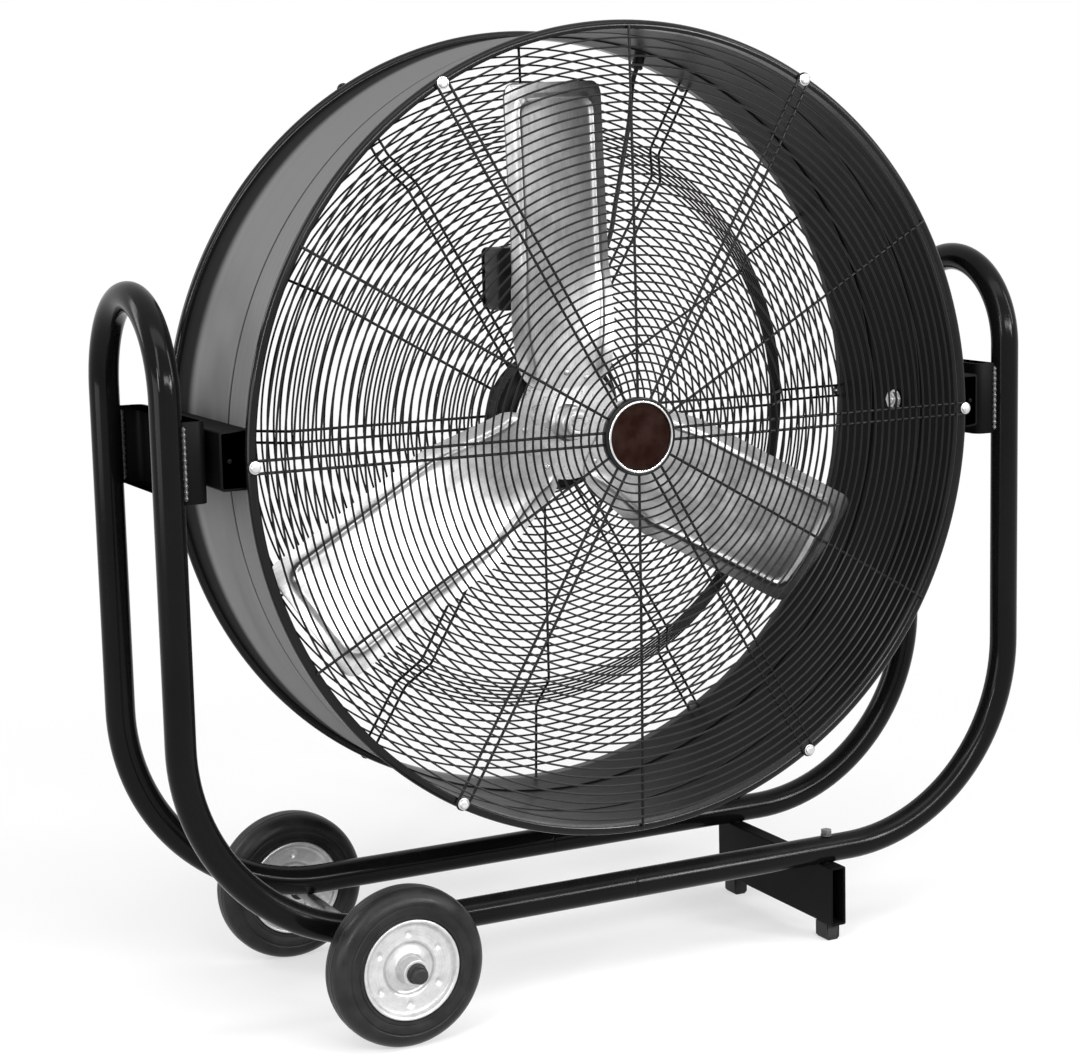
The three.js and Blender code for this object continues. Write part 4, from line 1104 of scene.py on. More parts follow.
@dataclass
class Foot(Assembly):
    """The fixed foot: a box channel across both runs, with rubber blocks and two bolts."""

    width: float = 25.0
    length: float = 316.0
    wall: float = 3.0
    bottom: float = 26.0
    pad_length: float = 30.0
    pad_width: float = 23.0
    pad_setback: float = 14.0
    bolt_r: float = 5.0
    head_r: float = 8.5

    @property
    def top(self) -> float:
        """Returns the height of the channel's upper face, just under the runs."""
        return self.at.run_z - self.at.tube_r - self.at.clear

    def channel(self) -> Shape:
        """Returns the open-ended box section: its outer and inner faces and the two end rims."""
        x, y, t, low, top = self.width / 2, self.length / 2, self.wall, self.bottom, self.top
        outer = oblong(-x, x, low, top, 2.6, 5)
        inner = oblong(t - x, x - t, low + t, top - t, 0.8, 5)
        rings = np.stack([inner, outer, outer, inner])
        ends = np.broadcast_to(np.array([-y, -y, y, y])[:, None], rings.shape[:2])
        grid = np.stack([rings[..., 0], ends, rings[..., 1]], -1).reshape(-1, 3)
        return Shape(grid, [grid_faces(4, len(outer), True, True)], grid).outward()

    def pad(self) -> Shape:
        """Returns the front pad: a rubber block under the channel, its lower edges cut off."""
        x, top = self.pad_width / 2, self.bottom - 0.3
        outline = softened([(4 - x, 0), (x - 4, 0), (x, 4), (x, top), (-x, top), (-x, 4)],
                           [1.2, 1.2, 1.2, 0.5, 0.5, 1.2], 3)
        end = self.pad_setback - self.length / 2
        return slab(outline, end, end + self.pad_length, 2.0, np.array([X_AXIS, Z_AXIS, Y_AXIS]), 3)

    def build(self) -> None:
        """Makes the foot on the base."""
        a, r, top = self.at, self.head_r, self.top
        head_from = a.run_z + a.tube_r + a.clear
        bolt = joined([slab(circle(r, 6), head_from + 1.2, head_from + 8.8, 0.8, Z_UP, 3),
                       slab(circle(r, 32), head_from, head_from + 1.3, 0.3, Z_UP),
                       slab(circle(self.bolt_r, 24), top - 15, head_from + 1, 0.5, Z_UP),
                       slab(circle(r, 6), top - 12, top - self.wall - 0.3, 0.7, Z_UP, 3)])
        fit("foot_box", self.channel().moved((a.foot_x, 0, 0)), [Finish.PRESSED], "base",
            ["foot_channel"])
        for word, side in ENDS:
            fit(f"foot_end_{word}", self.pad().at_end(-side).moved((a.foot_x, 0, 0)), [Finish.RUBBER], "base",
                [f"foot_pad_{word}"])
            fit(f"foot_screw_{word}", bolt.moved((a.foot_x, side * a.half_y, 0)), [Finish.WELD], "base",
                [f"foot_bolt_{word}"])


@dataclass
class Drum(Assembly):
    """The rolled drum wall with two pressed grooves and a rolled rim at each end.

    A groove is groove_depth deep but for the rear one's outer face and the front one's inner face.
    """

    bead_r: float = 7.8
    bead_setback: float = 8.0
    groove_y: float = 62.0
    groove_depth: float = 2.2
    rear_depth: float = 0.25
    inner_depth: float = 1.1
    groove_half: float = 4.5

    def wall_line(self, radius: float, y: np.ndarray) -> np.ndarray:
        """Radius and y of one face of the wall: R - d/2 (1 + cos(pi (y - g) / h)) inside each groove."""
        away = np.abs(np.abs(y) - self.groove_y) / self.groove_half
        dip = np.where(away < 1, 0.5 * (1 + np.cos(np.pi * np.minimum(away, 1))), 0)
        outside = radius == self.at.drum_r
        depth = np.where((y > 0) & outside, self.rear_depth,
                         np.where((y < 0) & ~outside, self.inner_depth, self.groove_depth))
        return np.stack([radius - depth * dip, y], -1)

    def shell(self) -> Shape:
        """Returns the wall with its rims, inside and outside faces apart for their finishes."""
        a = self.at
        bead_c, bead_y, r = a.guard_r, a.half_depth - self.bead_setback, self.bead_r
        inner_r = a.drum_r - a.wall
        meet, meet_in = (math.degrees(math.acos((wall_r - bead_c) / r)) for wall_r in (a.drum_r, inner_r))
        groove = np.linspace(-6, 6, 17)
        steps = np.concatenate([[-145, -120, -90], groove - self.groove_y, [-40, 0, 40],
                                groove + self.groove_y, [90, 120, 145]])
        front = arc((bead_c, -bead_y), r, -meet_in, meet, 22)
        rear = arc((bead_c, bead_y), r, -meet, meet_in, 22)
        outer, inner = self.wall_line(a.drum_r, steps), self.wall_line(inner_r, steps[::-1])
        shape = turned(np.concatenate([outer, rear, inner, front]), 288)
        middle = shape.local[shape.faces[0]].mean(1)
        rim = np.abs(middle[:, 1]) > bead_y - r * 0.98
        inside = (middle[:, 0] < inner_r + 0.2) & ~rim
        faces = [shape.faces[0][group] for group in (~rim & ~inside, inside, rim)]
        return Shape(shape.points, faces, shape.local, [0, 1, 2])

    def build(self) -> None:
        """Makes the wall on the drum."""
        fit("drum_wall", self.at.on_axis(self.shell()), [Finish.DRUM_OUT, Finish.DRUM_IN, Finish.DRUM_RIM],
            "drum", ["drum_shell"])


@dataclass
class WireGuard(Assembly):
    """One guard: closely spaced wire rings on single and double spokes round a hub.

    The front guard (side -1) is domed by rise. The rear one (side 1) has its centre set back by
    step_depth, behind a sloping step of step_width that ends step_inset inside the rim.
    """

    side: int
    ring_count: int = 40
    ring_wire: float = 1.5
    spoke_wire: float = 2.0
    weld_sink: float = 0.8
    hub_r: float = 53.0
    pair_gap: float = 16.0
    pair_count: int = 6
    rise: float = 7.0
    step_inset: float = 109.0
    step_width: float = 45.0
    step_depth: float = 44.0
    step_fall: float = 6.0
    step_rings: int = 7
    kink_r: float = 14.0
    washer_r: float = 65.0
    washer_bore: float = 15.0

    def knots(self) -> np.ndarray:
        """Returns the radius and y of the spokes' corners, from the hub out to the rim."""
        a, outer = self.at, self.at.guard_r
        if self.side < 0:
            r = np.linspace(self.hub_r - 6, outer, 18)
            return np.stack([r, -a.guard_seat - self.rise * (1 - (r / outer) ** 2)], -1)
        centre = a.guard_seat - self.step_fall - self.step_depth
        step = outer - self.step_inset
        return np.array([(self.hub_r - 6, centre), (step - self.step_width, centre),
                         (step, a.guard_seat - self.step_fall), (outer, a.guard_seat)])

    def line(self) -> np.ndarray:
        """Returns the spokes' bent centre line as radius and y, its kinks eased."""
        k = self.knots()
        if self.side < 0:
            return k
        return bent_path(np.column_stack([k, np.zeros(len(k))]), [self.kink_r] * 2, 6)[:, :2]

    def height(self, r: float) -> float:
        """Returns the y of the guard's surface at a radius."""
        k = self.line()
        return float(np.interp(r, k[:, 0], k[:, 1]))

    def single(self) -> Shape:
        """Returns one plain spoke pointing up."""
        k = self.line()
        path = np.stack([np.zeros(len(k)), k[:, 1], k[:, 0]], -1)
        return sweep(path, circle(self.spoke_wire, 8), X_AXIS)

    def double(self) -> Shape:
        """Returns one double spoke pointing up: out, round its screw in a half turn, and back."""
        k = self.line()
        gap = self.pair_gap / 2
        out = np.stack([np.full(len(k), -gap), k[:, 1], k[:, 0]], -1)
        t = np.linspace(np.pi, 0, 13)[1:-1]
        eye = np.stack([gap * np.cos(t), np.full_like(t, k[-1, 1]), k[-1, 0] + gap * np.sin(t)], -1)
        back = out[::-1] * [-1, 1, 1]
        return sweep(np.concatenate([out, eye, back]), circle(self.spoke_wire, 8), Y_AXIS)

    def ring(self, r: float) -> Shape:
        """Returns one ring of wire welded to the outside of the spokes."""
        count = int(np.clip(r * 0.42, 60, 220))
        t = np.linspace(0, 2 * np.pi, count, endpoint=False)
        y = self.height(r) + self.side * (self.spoke_wire + self.ring_wire - self.weld_sink)
        path = np.stack([r * np.sin(t), np.full_like(t, y), r * np.cos(t)], -1)
        return sweep(path, circle(self.ring_wire, 6), Y_AXIS, closed=True)

    def radii(self) -> np.ndarray:
        """Returns the rings' radii, evenly spaced but for closer ones on the rear guard's step."""
        last = self.at.guard_r - self.pair_gap
        even = np.linspace(self.hub_r + (last - self.hub_r) / self.ring_count, last, self.ring_count)
        if self.side < 0:
            return even
        step = self.at.guard_r - self.step_inset
        extra = np.linspace(step - self.step_width + 3, step - 2, self.step_rings)
        plain = even[(even < step - self.step_width) | (even > step + 3)]
        return np.concatenate([plain, extra])

    def hub(self) -> Shape:
        """Returns the hub: a shallow cup for the badge in front, a flat washer at the rear."""
        y, r = self.height(self.hub_r), self.hub_r
        if self.side > 0:
            return flat_ring(self.washer_bore, self.washer_r, y - 2, y + 2, 0.8)
        lip = [(r - 3.7, y - 2), (r - 3.7, y - 6.6), (r - 3.1, y - 7), (r - 0.6, y - 7), (r, y - 6.4)]
        return turned([(0, y - 2), *lip, (r, y + 4.2), (r - 0.8, y + 5), (0, y + 5)], 96)

    def pair_angles(self) -> np.ndarray:
        """Returns the clock angles of the double spokes, in degrees."""
        return (np.arange(self.pair_count) + 0.5) * 360 / self.pair_count

    def screw(self) -> Shape:
        """Returns the domed screw and washer that sit in a double spoke's eye."""
        seat = self.at.guard_seat + 2.3
        washer, dome = [(0, 0), (8.0, 0), (8.0, 0.9), (6.6, 1.2)], arc((3.4, 1.6), 3.2, 0, 90, 7)
        head = turned(np.concatenate([washer, dome, [(0, 4.9)]]) + [0, seat], 32, closed=False)
        tip = [(0, seat - 11), (2.6, seat - 11), (3.0, seat - 10.4)]
        shank = turned([*tip, (3.0, seat + 0.5), (0, seat + 0.5)], 16, closed=False)
        return joined([head, shank]).at_end(self.side)

    def build(self) -> None:
        """Makes the guard on the drum."""
        word = "front" if self.side < 0 else "rear"
        wires = []
        for angle in self.pair_angles():
            wires += [self.double().clocked(angle), self.single().clocked(angle + 180 / self.pair_count)]
        wires += [*(self.ring(float(r)) for r in self.radii()), self.hub()]
        fit(f"guard_{word}", self.at.on_axis(joined(wires)), [Finish.WIRE], "drum",
            [f"{word}_guard"], crease=50)
        for i, angle in enumerate(np.radians(self.pair_angles())):
            eye = self.at.guard_r * np.array([math.sin(angle), 0, math.cos(angle)])
            fit(f"{word}_screw_{i + 1}", self.at.on_axis(self.screw().moved(eye)), [Finish.ZINC], "drum",
                [f"{word}_guard_screw_{i + 1}"])


@dataclass
class Badge(Assembly):
    """The bare badge in the front guard's hub: a dark disc inside a bright ring."""

    back_y: float = -173.53
    disc_r: float = 45.0
    ring_r: float = 49.0

    def build(self) -> None:
        """Makes the ring and the disc on the drum."""
        y, inner = self.back_y, self.disc_r + 0.3
        ring = np.concatenate([[(inner, y), (self.ring_r, y), (self.ring_r, y - 5.0)],
                               arc((self.ring_r - 1.8, y - 5.0), 1.8, 0, -90, 6),
                               [(inner + 0.9, y - 6.4), (inner, y - 4.6)]])
        fit("badge_trim", self.at.on_axis(turned(ring, 128)), [Finish.CHROME], "drum",
            ["badge_ring"])
        r = np.linspace(self.disc_r - 0.8, 0, 14)
        dome = np.stack([r, y - 3.4 - 1.2 * (1 - (r / self.disc_r) ** 2)], -1)
        disc = np.concatenate([[(0, y), (self.disc_r, y), (self.disc_r, y - 2.8)], dome])
        fit("badge_face", self.at.on_axis(turned(disc, 96, closed=False)), [Finish.BADGE], "drum",
            ["badge_disc"])


@dataclass
class Motor(Assembly):
    """The motor behind the blades: ribbed shell, front bell and the plate on the rear guard."""

    r: float = 100.0
    rear_y: float = 107.7
    front_y: float = 55.7
    nose_y: float = 38.7
    bore_r: float = 9.4
    rib_count: int = 36
    rib_depth: float = 3.0
    rib_power: int = 6
    screw_ring_r: float = 62.0
    plate_r: float = 78.0
    plate_bore: float = 15.0
    plate_t: float = 4.0

    def shell(self) -> Shape:
        """Returns the shell: its side carries fins, r = R - d (1 - |cos(n a / 2)|^6) between its ends."""
        f, b, r, bore = self.front_y, self.rear_y, self.r, self.bore_r
        side = [(r - 14, f), (r - 8, f + 0.8), (r - 3.5, f + 4.5), (r - 0.8, f + 9)]
        middle = [(r, y) for y in np.linspace(f + 12, b - 12, 8)]
        rear = [(r - 0.8, b - 9), (r - 3.5, b - 4.5), (r - 8, b - 0.8), (r - 14, b)]
        profile = [(0, b - 10), (bore, b - 10), (bore, f), *side, *middle, *rear, (0, b)]
        shape = turned(profile, 216, closed=False)
        fin = np.abs(np.cos(self.rib_count * shape.local[:, 2] / 2)) ** self.rib_power
        factor = np.where(shape.local[:, 0] > r - 0.1, 1 - self.rib_depth / r * (1 - fin), 1.0)
        shape.points[:, ::2] *= factor[:, None]
        return shape

    def bell(self) -> Shape:
        """Returns the front bell with its raised nose and four screws."""
        y, nose, bore, ring = self.front_y - 0.3, self.nose_y, self.bore_r, self.screw_ring_r
        bell = turned([(bore, y), (bore, nose), (23, nose), (24, nose + 0.8), (27, y - 10), (31, y - 8.6),
                       (60, y - 6.8), (74, y - 6), (80, y - 3.4), (84, y)], 96)
        screw = turned([(0, 0), (4, 0), (4, -2.2), (3.2, -3.0), (0, -3.2)], 16, closed=False)
        angles = np.radians([45, 135, 225, 315])
        places = [(ring * math.sin(t), y - 6.5, ring * math.cos(t)) for t in angles]
        return joined([bell, *(screw.moved(place) for place in places)])

    def build(self) -> None:
        """Makes the motor on the drum."""
        a = self.at
        fit("motor_body", a.on_axis(self.shell()), [Finish.MOTOR], "drum", ["motor_shell"], 40)
        fit("motor_bell", a.on_axis(self.bell()), [Finish.MOTOR], "drum", ["motor_front_bell"])
        near = self.rear_y + a.clear
        plate = flat_ring(self.plate_bore, self.plate_r, near, near + self.plate_t, 0.8)
        fit("motor_mount_plate", a.on_axis(plate), [Finish.PRESSED], "drum", ["motor_plate"])


@dataclass
class Rotor(Assembly):
    """Shaft, hub and three pressed blades riveted to it."""

    hub_y: float = 38.4
    hub_r: float = 82.0
    hub_t: float = 4.0
    boss_r: float = 22.0
    boss_length: float = 30.0
    collar_r: float = 17.0
    collar_width: float = 6.0
    shaft_r: float = 9.0
    shaft_end_y: float = 97.4
    blade_count: int = 3
    tip_r: float = 476.0
    root_r: float = 50.0
    width: float = 190.0
    root_width: float = 136.0
    root_corner_r: float = 34.0
    sheet_t: float = 2.5
    camber: float = 7.0
    pitch: float = 18.0
    twist: tuple = (0.1, 0.42)
    widening: float = 0.35
    bow_from: float = 0.16
    phase: float = -1.7
    rib_height: float = 3.6
    rib_inset: float = 22.0
    rib_half: float = 3.6
    corner_r: float = 20.0
    rib_corner_r: float = 22.0
    rib_from: float = 14.0
    rib_fade: float = 12.0
    rivet_r: float = 4.5
    rivets_at: tuple = ((-32, 62), (32, 62), (0, 72))

    @property
    def blade_y(self) -> float:
        """Returns the y of the middle of a blade's root."""
        return self.hub_y - self.hub_t - 0.3 - self.sheet_t / 2

    @property
    def boss_y(self) -> float:
        """Returns the y of the boss's front end."""
        return self.hub_y - self.boss_length

    def outline(self, r: np.ndarray) -> np.ndarray:
        """Half-width of a blade at a radius, with its corners rounded.

        It widens evenly over the first share of the length; within c of an end it loses
        c - sqrt(c^2 - (c - d)^2), where d is the distance to that end.

        Args:
            r: distance from the drum's axis.

        Returns:
            Half the width there.
        """
        share = (r - self.root_r) / (self.tip_r - self.root_r)
        width = self.root_width + (self.width - self.root_width) * np.clip(share / self.widening, 0, 1)

        def loss(distance: np.ndarray, c: float) -> np.ndarray:
            """Returns what the corner of radius c takes off the half-width."""
            d = np.clip(distance, 0, c)
            return c - np.sqrt(np.maximum(c * c - (c - d) ** 2, 0))

        return width / 2 - loss(self.tip_r - r, self.corner_r) - loss(r - self.root_r, self.root_corner_r)

    def blade(self) -> Shape:
        """A pressed blade as a height over its width u and length r.

        Height = bow (1 - u^2) + rib exp(-(d / h)^2), where the bow grows outwards from the root and d
        is the distance to the line that runs a fixed inset inside both long edges and the tip. The
        section turns smoothly by the pitch over the twist's shares of the length.

        Returns:
            The closed sheet, pointing up, its root at y = 0.
        """
        x, rr, u = self.blade_grid()
        share = (rr - self.root_r) / (self.tip_r - self.root_r)
        started = np.clip((rr - self.root_r - self.rib_from) / self.rib_fade, 0, 1)
        rib = self.rib_height * np.exp(-(self.from_rib(x, rr) / self.rib_half) ** 2) * started
        bow = self.camber * (1 - u ** 2) * np.clip(share - self.bow_from, 0, None)
        turn = np.clip((share - self.twist[0]) / (self.twist[1] - self.twist[0]), 0, 1)
        pitch = np.radians(self.pitch * turn * turn * (3 - 2 * turn))
        c, s = np.cos(pitch), np.sin(pitch)
        rises = (rib + bow + self.sheet_t / 2, rib + bow - self.sheet_t / 2)
        sheet = sheet_metal(*(np.stack([x * c + rise * s, x * s - rise * c, rr], -1) for rise in rises))
        flat = np.stack([x, rr, np.zeros_like(x)], -1).reshape(-1, 3)
        sheet.local = np.concatenate([flat, flat + [0, 0, 50]])
        return sheet

    def blade_grid(self) -> tuple[np.ndarray, np.ndarray, np.ndarray]:
        """Returns a blade's grid: x across it, r along it and u from edge to edge, close at ribs and ends."""
        ends = np.array([0, 0.05, 0.15, 0.35, 0.7, 1.2, 2, 3, 4.5, 6.5, 9, 12, 16, 20, 24, 29, 34])
        tip = self.tip_r - np.append(ends, [36, 38])
        r = np.concatenate([self.root_r + ends, np.linspace(self.root_r + 40, self.tip_r - 40, 60), tip])
        r = np.unique(np.round(r, 3))[:, None]
        edge = np.array([0, 1.5, 4, 8, 12, 15, 17, 18.5, 20, 21, 22, 23, 24, 25.5, 27, 29, 32, 36])
        edge = edge / (self.width / 2)
        u = np.unique(np.round(np.concatenate([edge - 1, np.linspace(-0.5, 0.5, 15), 1 - edge]), 4))[None]
        x = self.outline(r) * u
        return x, np.broadcast_to(r, x.shape), u

    def from_rib(self, x: np.ndarray, r: np.ndarray) -> np.ndarray:
        """Distance to the rib: two straight lines, round corners and a line along the tip.

        Args:
            x: place across the blade.
            r: place along it.

        Returns:
            The distance at each place.
        """
        inset, corner_r = self.rib_inset, self.rib_corner_r
        to_line = self.outline(np.clip(r, self.root_r + 40, self.tip_r - 40)) - inset - np.abs(x)
        below = np.clip(r - (self.tip_r - inset - corner_r), 0, None)
        beside = np.clip(corner_r - to_line, 0, None)
        to_corner = np.abs(np.hypot(beside, below) - corner_r)
        at_tip = np.where(beside > 0, to_corner, np.abs(self.tip_r - inset - r))
        return np.where(below > 0, at_tip, np.abs(to_line))

    def rivets(self) -> Shape:
        """Returns the domed rivet heads at the root of the upright blade."""
        y = -self.sheet_t / 2
        dome = arc((0, 0), self.rivet_r, 0, -90, 6) * [1, 0.6] + [0, y - 0.3]
        head = turned(np.concatenate([[(0, y + 1), (self.rivet_r, y + 1)], dome]), 20, closed=False)
        return joined([head.moved((x, 0, z)) for x, z in self.rivets_at])

    def hub(self) -> Shape:
        """Returns the hub: a boss round the shaft that widens into a plate for the blades."""
        bore, boss, front = self.shaft_r + self.at.clear, self.boss_y, self.hub_y - self.hub_t
        b, r, y = self.boss_r, self.hub_r, self.hub_y
        return turned([(bore, boss), (b - 1, boss), (b, boss + 1), (b + 1.5, y - 8), (b + 5, front - 0.4),
                       (b + 8, front), (r - 0.8, front), (r, front + 0.8), (r, y - 0.9), (r - 0.6, y - 0.3),
                       (bore, y - 0.3)], 96)

    def collar(self) -> Shape:
        """Returns the collar in front of the boss."""
        clear, end = self.at.clear, self.boss_y
        return flat_ring(self.shaft_r + clear, self.collar_r, end - self.collar_width, end - clear, 0.7, 64)

    def shaft(self) -> Shape:
        """Returns the shaft, from just past the collar into the motor, its ends chamfered."""
        r, start, end = self.shaft_r, self.boss_y - self.collar_width - 2, self.shaft_end_y
        return turned([(0, start), (r - 0.8, start), (r, start + 0.8), (r, end - 0.4), (r - 0.4, end),
                       (0, end)], 48, closed=False)

    def build(self) -> None:
        """Makes the rotor."""
        a = self.at
        for i in range(self.blade_count):
            angle = self.phase + 360 / self.blade_count * i
            both = joined([self.blade(), self.rivets().tagged(1)]).clocked(angle)
            fit(f"fan_blade_{i + 1}", a.on_axis(both.moved((0, self.blade_y, 0))),
                [Finish.BLADE, Finish.ZINC], "rotor", [f"blade_{i + 1}"])
        for name, shape, node in (("hub_plate", self.hub(), "rotor_hub"),
                                  ("lock_collar", self.collar(), "shaft_collar"),
                                  ("shaft_rod", self.shaft(), "motor_shaft")):
            fit(name, a.on_axis(shape), [Finish.ZINC], "rotor", [node])


@dataclass
class Switchgear(Assembly):
    """Switch box inside the rear guard, its cover and knob outside it, and the supply lead."""

    x: float = -22.0
    z: float = 204.0
    width: float = 132.0
    height: float = 88.0
    box_front: float = 68.0
    box_rear: float = 112.0
    cover_front: float = 118.8
    cover_rear: float = 121.3
    cover_screw_inset: float = 10.0
    knob_r: float = 17.0
    knob_ribs: int = 30
    lead_r: float = 3.5
    lead_angle: float = 18.6
    lead_y: float = 104.8
    lead_start: float = 16.3
    gland_y: float = 118.0
    lead_bow: float = 29.0

    def placed(self, shape: Shape) -> Shape:
        """Returns a shape made round the knob's axis, at its place on the drum."""
        return self.at.on_axis(shape.moved((self.x, 0, self.z)))

    def plate(self, low: float, high: float, edge: float) -> Shape:
        """Returns a rounded block of the box's size between two y values."""
        w, h = self.width / 2, self.height / 2
        return slab(oblong(-h, h, -w, w, 8.0, 8), low, high, edge, Y_UP, 4)

    def cover(self) -> Shape:
        """Returns the cover with a screw in each corner and three ticks round the knob."""
        y, inset = self.cover_rear, self.cover_screw_inset
        w, h = self.width / 2 - inset, self.height / 2 - inset
        screw = turned([(0, 0), (3.6, 0), (3.6, 0.8), (2.6, 1.9), (0, 2.2)], 20, closed=False)
        screws = [screw.moved((sx * w, y - 0.1, sz * h)) for sx in (-1, 1) for sz in (-1, 1)]
        mark = oblong(21, 27, -0.7, 0.7, 0.4, 3)
        ticks = [slab(mark, y - 0.2, y + 0.35, 0.15, Y_UP).clocked(angle) for angle in (0, 45, 90)]
        face = self.plate(self.cover_front, y, 0.8)
        return joined([face, *(bright.tagged(1) for bright in screws + ticks)])

    def knob(self) -> Shape:
        """Returns the turning knob: ribbed skirt, grip bar and a raised pointer."""
        base, r = self.cover_rear + 0.3, self.knob_r
        skirt = turned([(0, base), (r, base), (r, base + 3), (r - 1.6, base + 4), (r - 2.6, base + 14),
                        (r - 4.0, base + 15.6), (0, base + 16)], 120, closed=False)
        ribbed = (skirt.local[:, 0] > r - 3.2) & (skirt.local[:, 1] > base + 3.5)
        wave = 1 - 0.035 * np.abs(np.sin(self.knob_ribs * skirt.local[:, 2] / 2))
        skirt.points[:, ::2] *= np.where(ribbed, wave, 1)[:, None]
        grip = slab(oblong(-14, 14, -4, 4, 3.0, 5), base + 14, base + 22.7, 1.2, Y_UP, 3)
        pointer = slab(oblong(4, 13, -0.8, 0.8, 0.5, 3), base + 22.3, base + 22.95, 0.2, Y_UP).tagged(1)
        return joined([skirt, grip, pointer])

    def lead_path(self) -> np.ndarray:
        """Returns the lead's centre line from its gland to the side of the switch box.

        It bows out by b sin(pi s / 2)^1.4 at the shares s of its middle stretch.
        """
        angle, start = math.radians(self.lead_angle), self.at.drum_r - self.at.wall - self.lead_start
        out = np.array([math.sin(angle), 0, math.cos(angle)])
        end = self.x + self.width / 2 + self.at.clear
        near, far = out * (start - 20) + Y_AXIS * self.lead_y, np.array([end + 18, self.lead_y, self.z])
        share = np.array([0.2, 0.4, 0.6, 0.87])[:, None]
        bow = self.lead_bow * np.sin(share * np.pi / 2) ** 1.4
        middle = near + (far - near) * share + bow * X_AXIS
        exit_y = Y_AXIS * self.gland_y
        return spline_path([out * start + exit_y, out * (start - 20) + exit_y, *middle, far,
                            (end, self.lead_y, self.z)], 12)

    def gland(self) -> Shape:
        """Returns the gland through the drum's wall: sleeve, six-sided nut and ribbed tail."""
        inner, outer = self.at.drum_r - self.at.wall, self.at.drum_r
        sleeve = slab(circle(8.0, 32), inner - 16, outer + 12, 1.0, Z_UP, 3)
        nut = slab(circle(12.0, 6), outer + 1.3, outer + 8, 1.0, Z_UP, 3)
        rings = [slab(circle(8.9, 32), z, z + 2.2, 0.7, Z_UP) for z in (inner - 14, inner - 10, inner - 6)]
        return joined([sleeve, nut, *rings]).clocked(self.lead_angle).moved((0, self.gland_y, 0))

    def build(self) -> None:
        """Makes the box, cover, lead and gland on the drum and the knob on its own body."""
        a, marked = self.at, [Finish.PLASTIC, Finish.ZINC]
        fit("switch_housing", self.placed(self.plate(self.box_front, self.box_rear, 2.5)), [Finish.PLASTIC],
            "drum", ["switch_box"])
        fit("switch_face", self.placed(self.cover()), marked, "drum", ["switch_cover"])
        fit("switch_dial", self.placed(self.knob()), marked, "knob", ["switch_knob"])
        fit("gland", a.on_axis(self.gland()), [Finish.PLASTIC], "drum", ["lead_gland"])
        lead = sweep(self.lead_path(), circle(self.lead_r, 14), Y_AXIS * 0.6 + X_AXIS * 0.8)
        fit("flex_lead", a.on_axis(lead), [Finish.LEAD], "drum", ["supply_lead"])


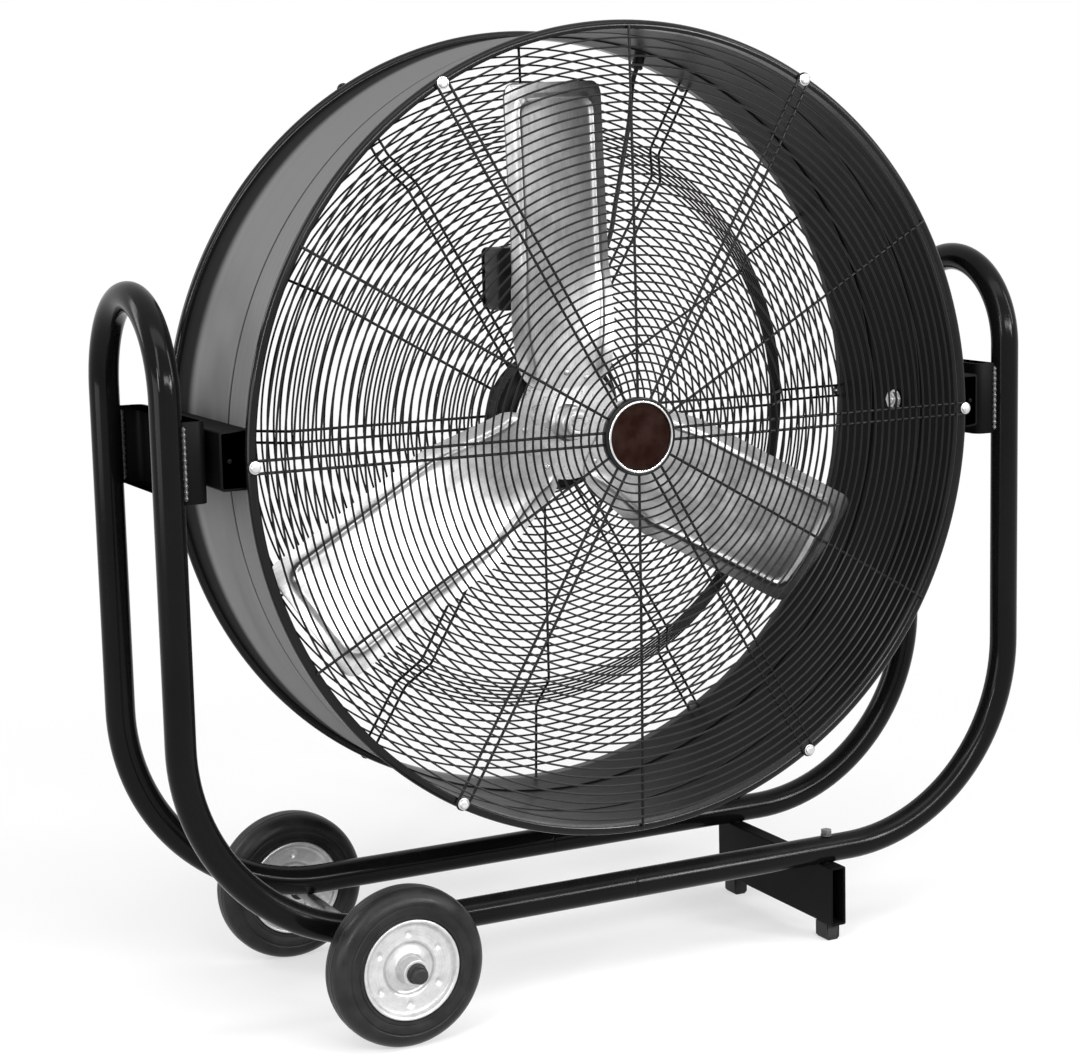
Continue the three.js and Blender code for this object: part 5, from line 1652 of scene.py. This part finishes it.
# ------------------------------------------------------------------------------------ studio
@dataclass
class Studio:
    """Pale floor, white surroundings, soft lamps and the camera, in metres and degrees.

    Attributes:
        floor_size: length of the square floor's side.
        dim: brightness of the surroundings as a light, where they aren't seen or mirrored.
        melt: distances over which the floor turns into plain white, and its share of white at both.
        aim: what every lamp faces.
        lamps: place, width and height, and power of each lamp.
        eye: the camera's place.
        view: its azimuth, elevation and roll.
        lens: its focal length in millimetres, on a sensor of that width.
        shift: its lens shift.
    """

    floor_size: float = 40.0
    dim: float = 0.45
    melt: tuple = (0.8, 2.2, 0.5, 1.0)
    aim: tuple = (0.0, 0.0, 0.7)
    lamps: tuple = (
        ((-3.4, -3.4, 3.9), (0.9, 2.6), 70.0),
        ((3.6, -2.4, 3.0), (0.6, 2.4), 60.0),
        ((-3.4, 2.6, 2.6), (1.0, 2.4), 60.0),
        ((-0.4, -1.9, 4.4), (5.0, 1.3), 70.0),
        ((0.1, -4.3, 2.3), (2.6, 0.5), 90.0),
        ((2.1, -3.7, 1.95), (1.8, 0.3), 60.0),
        ((-4.2, -0.9, 0.9), (2.4, 1.4), 50.0),
        ((-3.7, -2.6, 2.0), (0.22, 1.2), 45.0),
        ((2.4, -3.8, 2.0), (0.22, 1.2), 45.0),
    )
    eye: tuple = (-1.58359, -3.04113, 1.16077)
    view: tuple = (-27.42, 8.65, -1.23)
    lens: float = 81.84
    sensor: float = 36.0
    shift: tuple = (-0.0348, -0.0153)

    def world(self) -> None:
        """Makes the surroundings: white where they are seen or mirrored, dimmer as a light."""
        world = bpy.data.worlds.new("studio")
        bpy.context.scene.world = world
        world.use_nodes = True
        board = NodeBoard(world.node_tree)
        level = board.node("ShaderNodeMapRange")
        board.feed(level.inputs["To Min"], self.dim)
        board.feed(level.inputs["To Max"], 1.0)
        board.link(board.surroundings(), level.inputs["Value"])
        light = board.node("ShaderNodeBackground")
        board.feed(light.inputs["Color"], (1, 1, 1, 1))
        board.link(level.outputs["Result"], light.inputs["Strength"])
        board.link(light.outputs["Background"], board.node("ShaderNodeOutputWorld").inputs["Surface"])

    def floor(self) -> None:
        """Makes the floor: pale and shadowed near the fan, melting into white further out."""
        half = self.floor_size / 2
        mesh = bpy.data.meshes.new("floor")
        corners = [(-half, -half, 0), (half, -half, 0), (half, half, 0), (-half, half, 0)]
        mesh.from_pydata(corners, [], [(0, 1, 2, 3)])
        s = Sheet("pale_floor")
        s.set(Base_Color=(0.9, 0.9, 0.9, 1.0), Roughness=0.9, Specular_IOR_Level=0.0)
        reach = s.node("ShaderNodeVectorMath", operation="LENGTH")
        s.link(s.coords, reach.inputs[0])
        white = s.node("ShaderNodeEmission")
        s.feed(white.inputs["Color"], (1, 1, 1, 1))
        mix = s.node("ShaderNodeMixShader")
        away = s.spread(reach.outputs["Value"], *self.melt)
        s.link(s.calc("MULTIPLY", away, s.surroundings()), mix.inputs[0])
        s.link(s.shader.outputs["BSDF"], mix.inputs[1])
        s.link(white.outputs["Emission"], mix.inputs[2])
        s.link(mix.outputs["Shader"], s.surface)
        mesh.materials.append(s.material)
        linked(mesh, "floor")

    def lights(self) -> None:
        """Makes the oblong lamps, each facing the fan."""
        for i, (place, size, power) in enumerate(self.lamps):
            lamp = bpy.data.lights.new(f"softbox_{i}", "AREA")
            lamp.shape = "RECTANGLE"
            lamp.size, lamp.size_y, lamp.energy = *size, power
            made = linked(lamp, lamp.name)
            made.location = place
            made.rotation_euler = (Vector(self.aim) - Vector(place)).to_track_quat("-Z", "Y").to_euler()

    def camera(self) -> None:
        """Makes the camera at the photograph's viewing angle."""
        azimuth, elevation, roll = (math.radians(v) for v in self.view)
        right = Vector((math.cos(azimuth), math.sin(azimuth), 0))
        front = Vector((math.sin(azimuth), -math.cos(azimuth), 0))
        back = front * math.cos(elevation) + Vector((0, 0, math.sin(elevation)))
        up = back.cross(right)
        tilted = right * math.cos(roll) + up * math.sin(roll)
        upright = up * math.cos(roll) - right * math.sin(roll)
        lens = bpy.data.cameras.new("camera")
        lens.sensor_fit = "HORIZONTAL"
        lens.sensor_width, lens.lens, lens.clip_end = self.sensor, self.lens, 100.0
        lens.shift_x, lens.shift_y = self.shift
        made = linked(lens, lens.name)
        turn = Matrix((tilted, upright, back)).transposed()
        made.matrix_world = Matrix.Translation(self.eye) @ turn.to_4x4()
        bpy.context.scene.camera = made

    def build(self) -> None:
        """Makes the whole studio."""
        self.camera()
        self.world()
        self.floor()
        self.lights()
        bpy.context.scene.view_settings.view_transform = "Standard"


def main() -> None:
    """Builds the studio and every sub-assembly in turn."""
    logging.basicConfig(level=logging.INFO, format="%(name)s: %(message)s")
    layout = Layout()
    Studio().build()
    for part in (TubeFrame(layout), Pivots(layout), Wheels(layout), Foot(layout), Drum(layout),
                 WireGuard(layout, -1), WireGuard(layout, 1), Badge(layout), Motor(layout),
                 Rotor(layout), Switchgear(layout)):
        part.build()
        LOG.info("%s done", type(part).__name__)


if __name__ == "__main__":
    main()
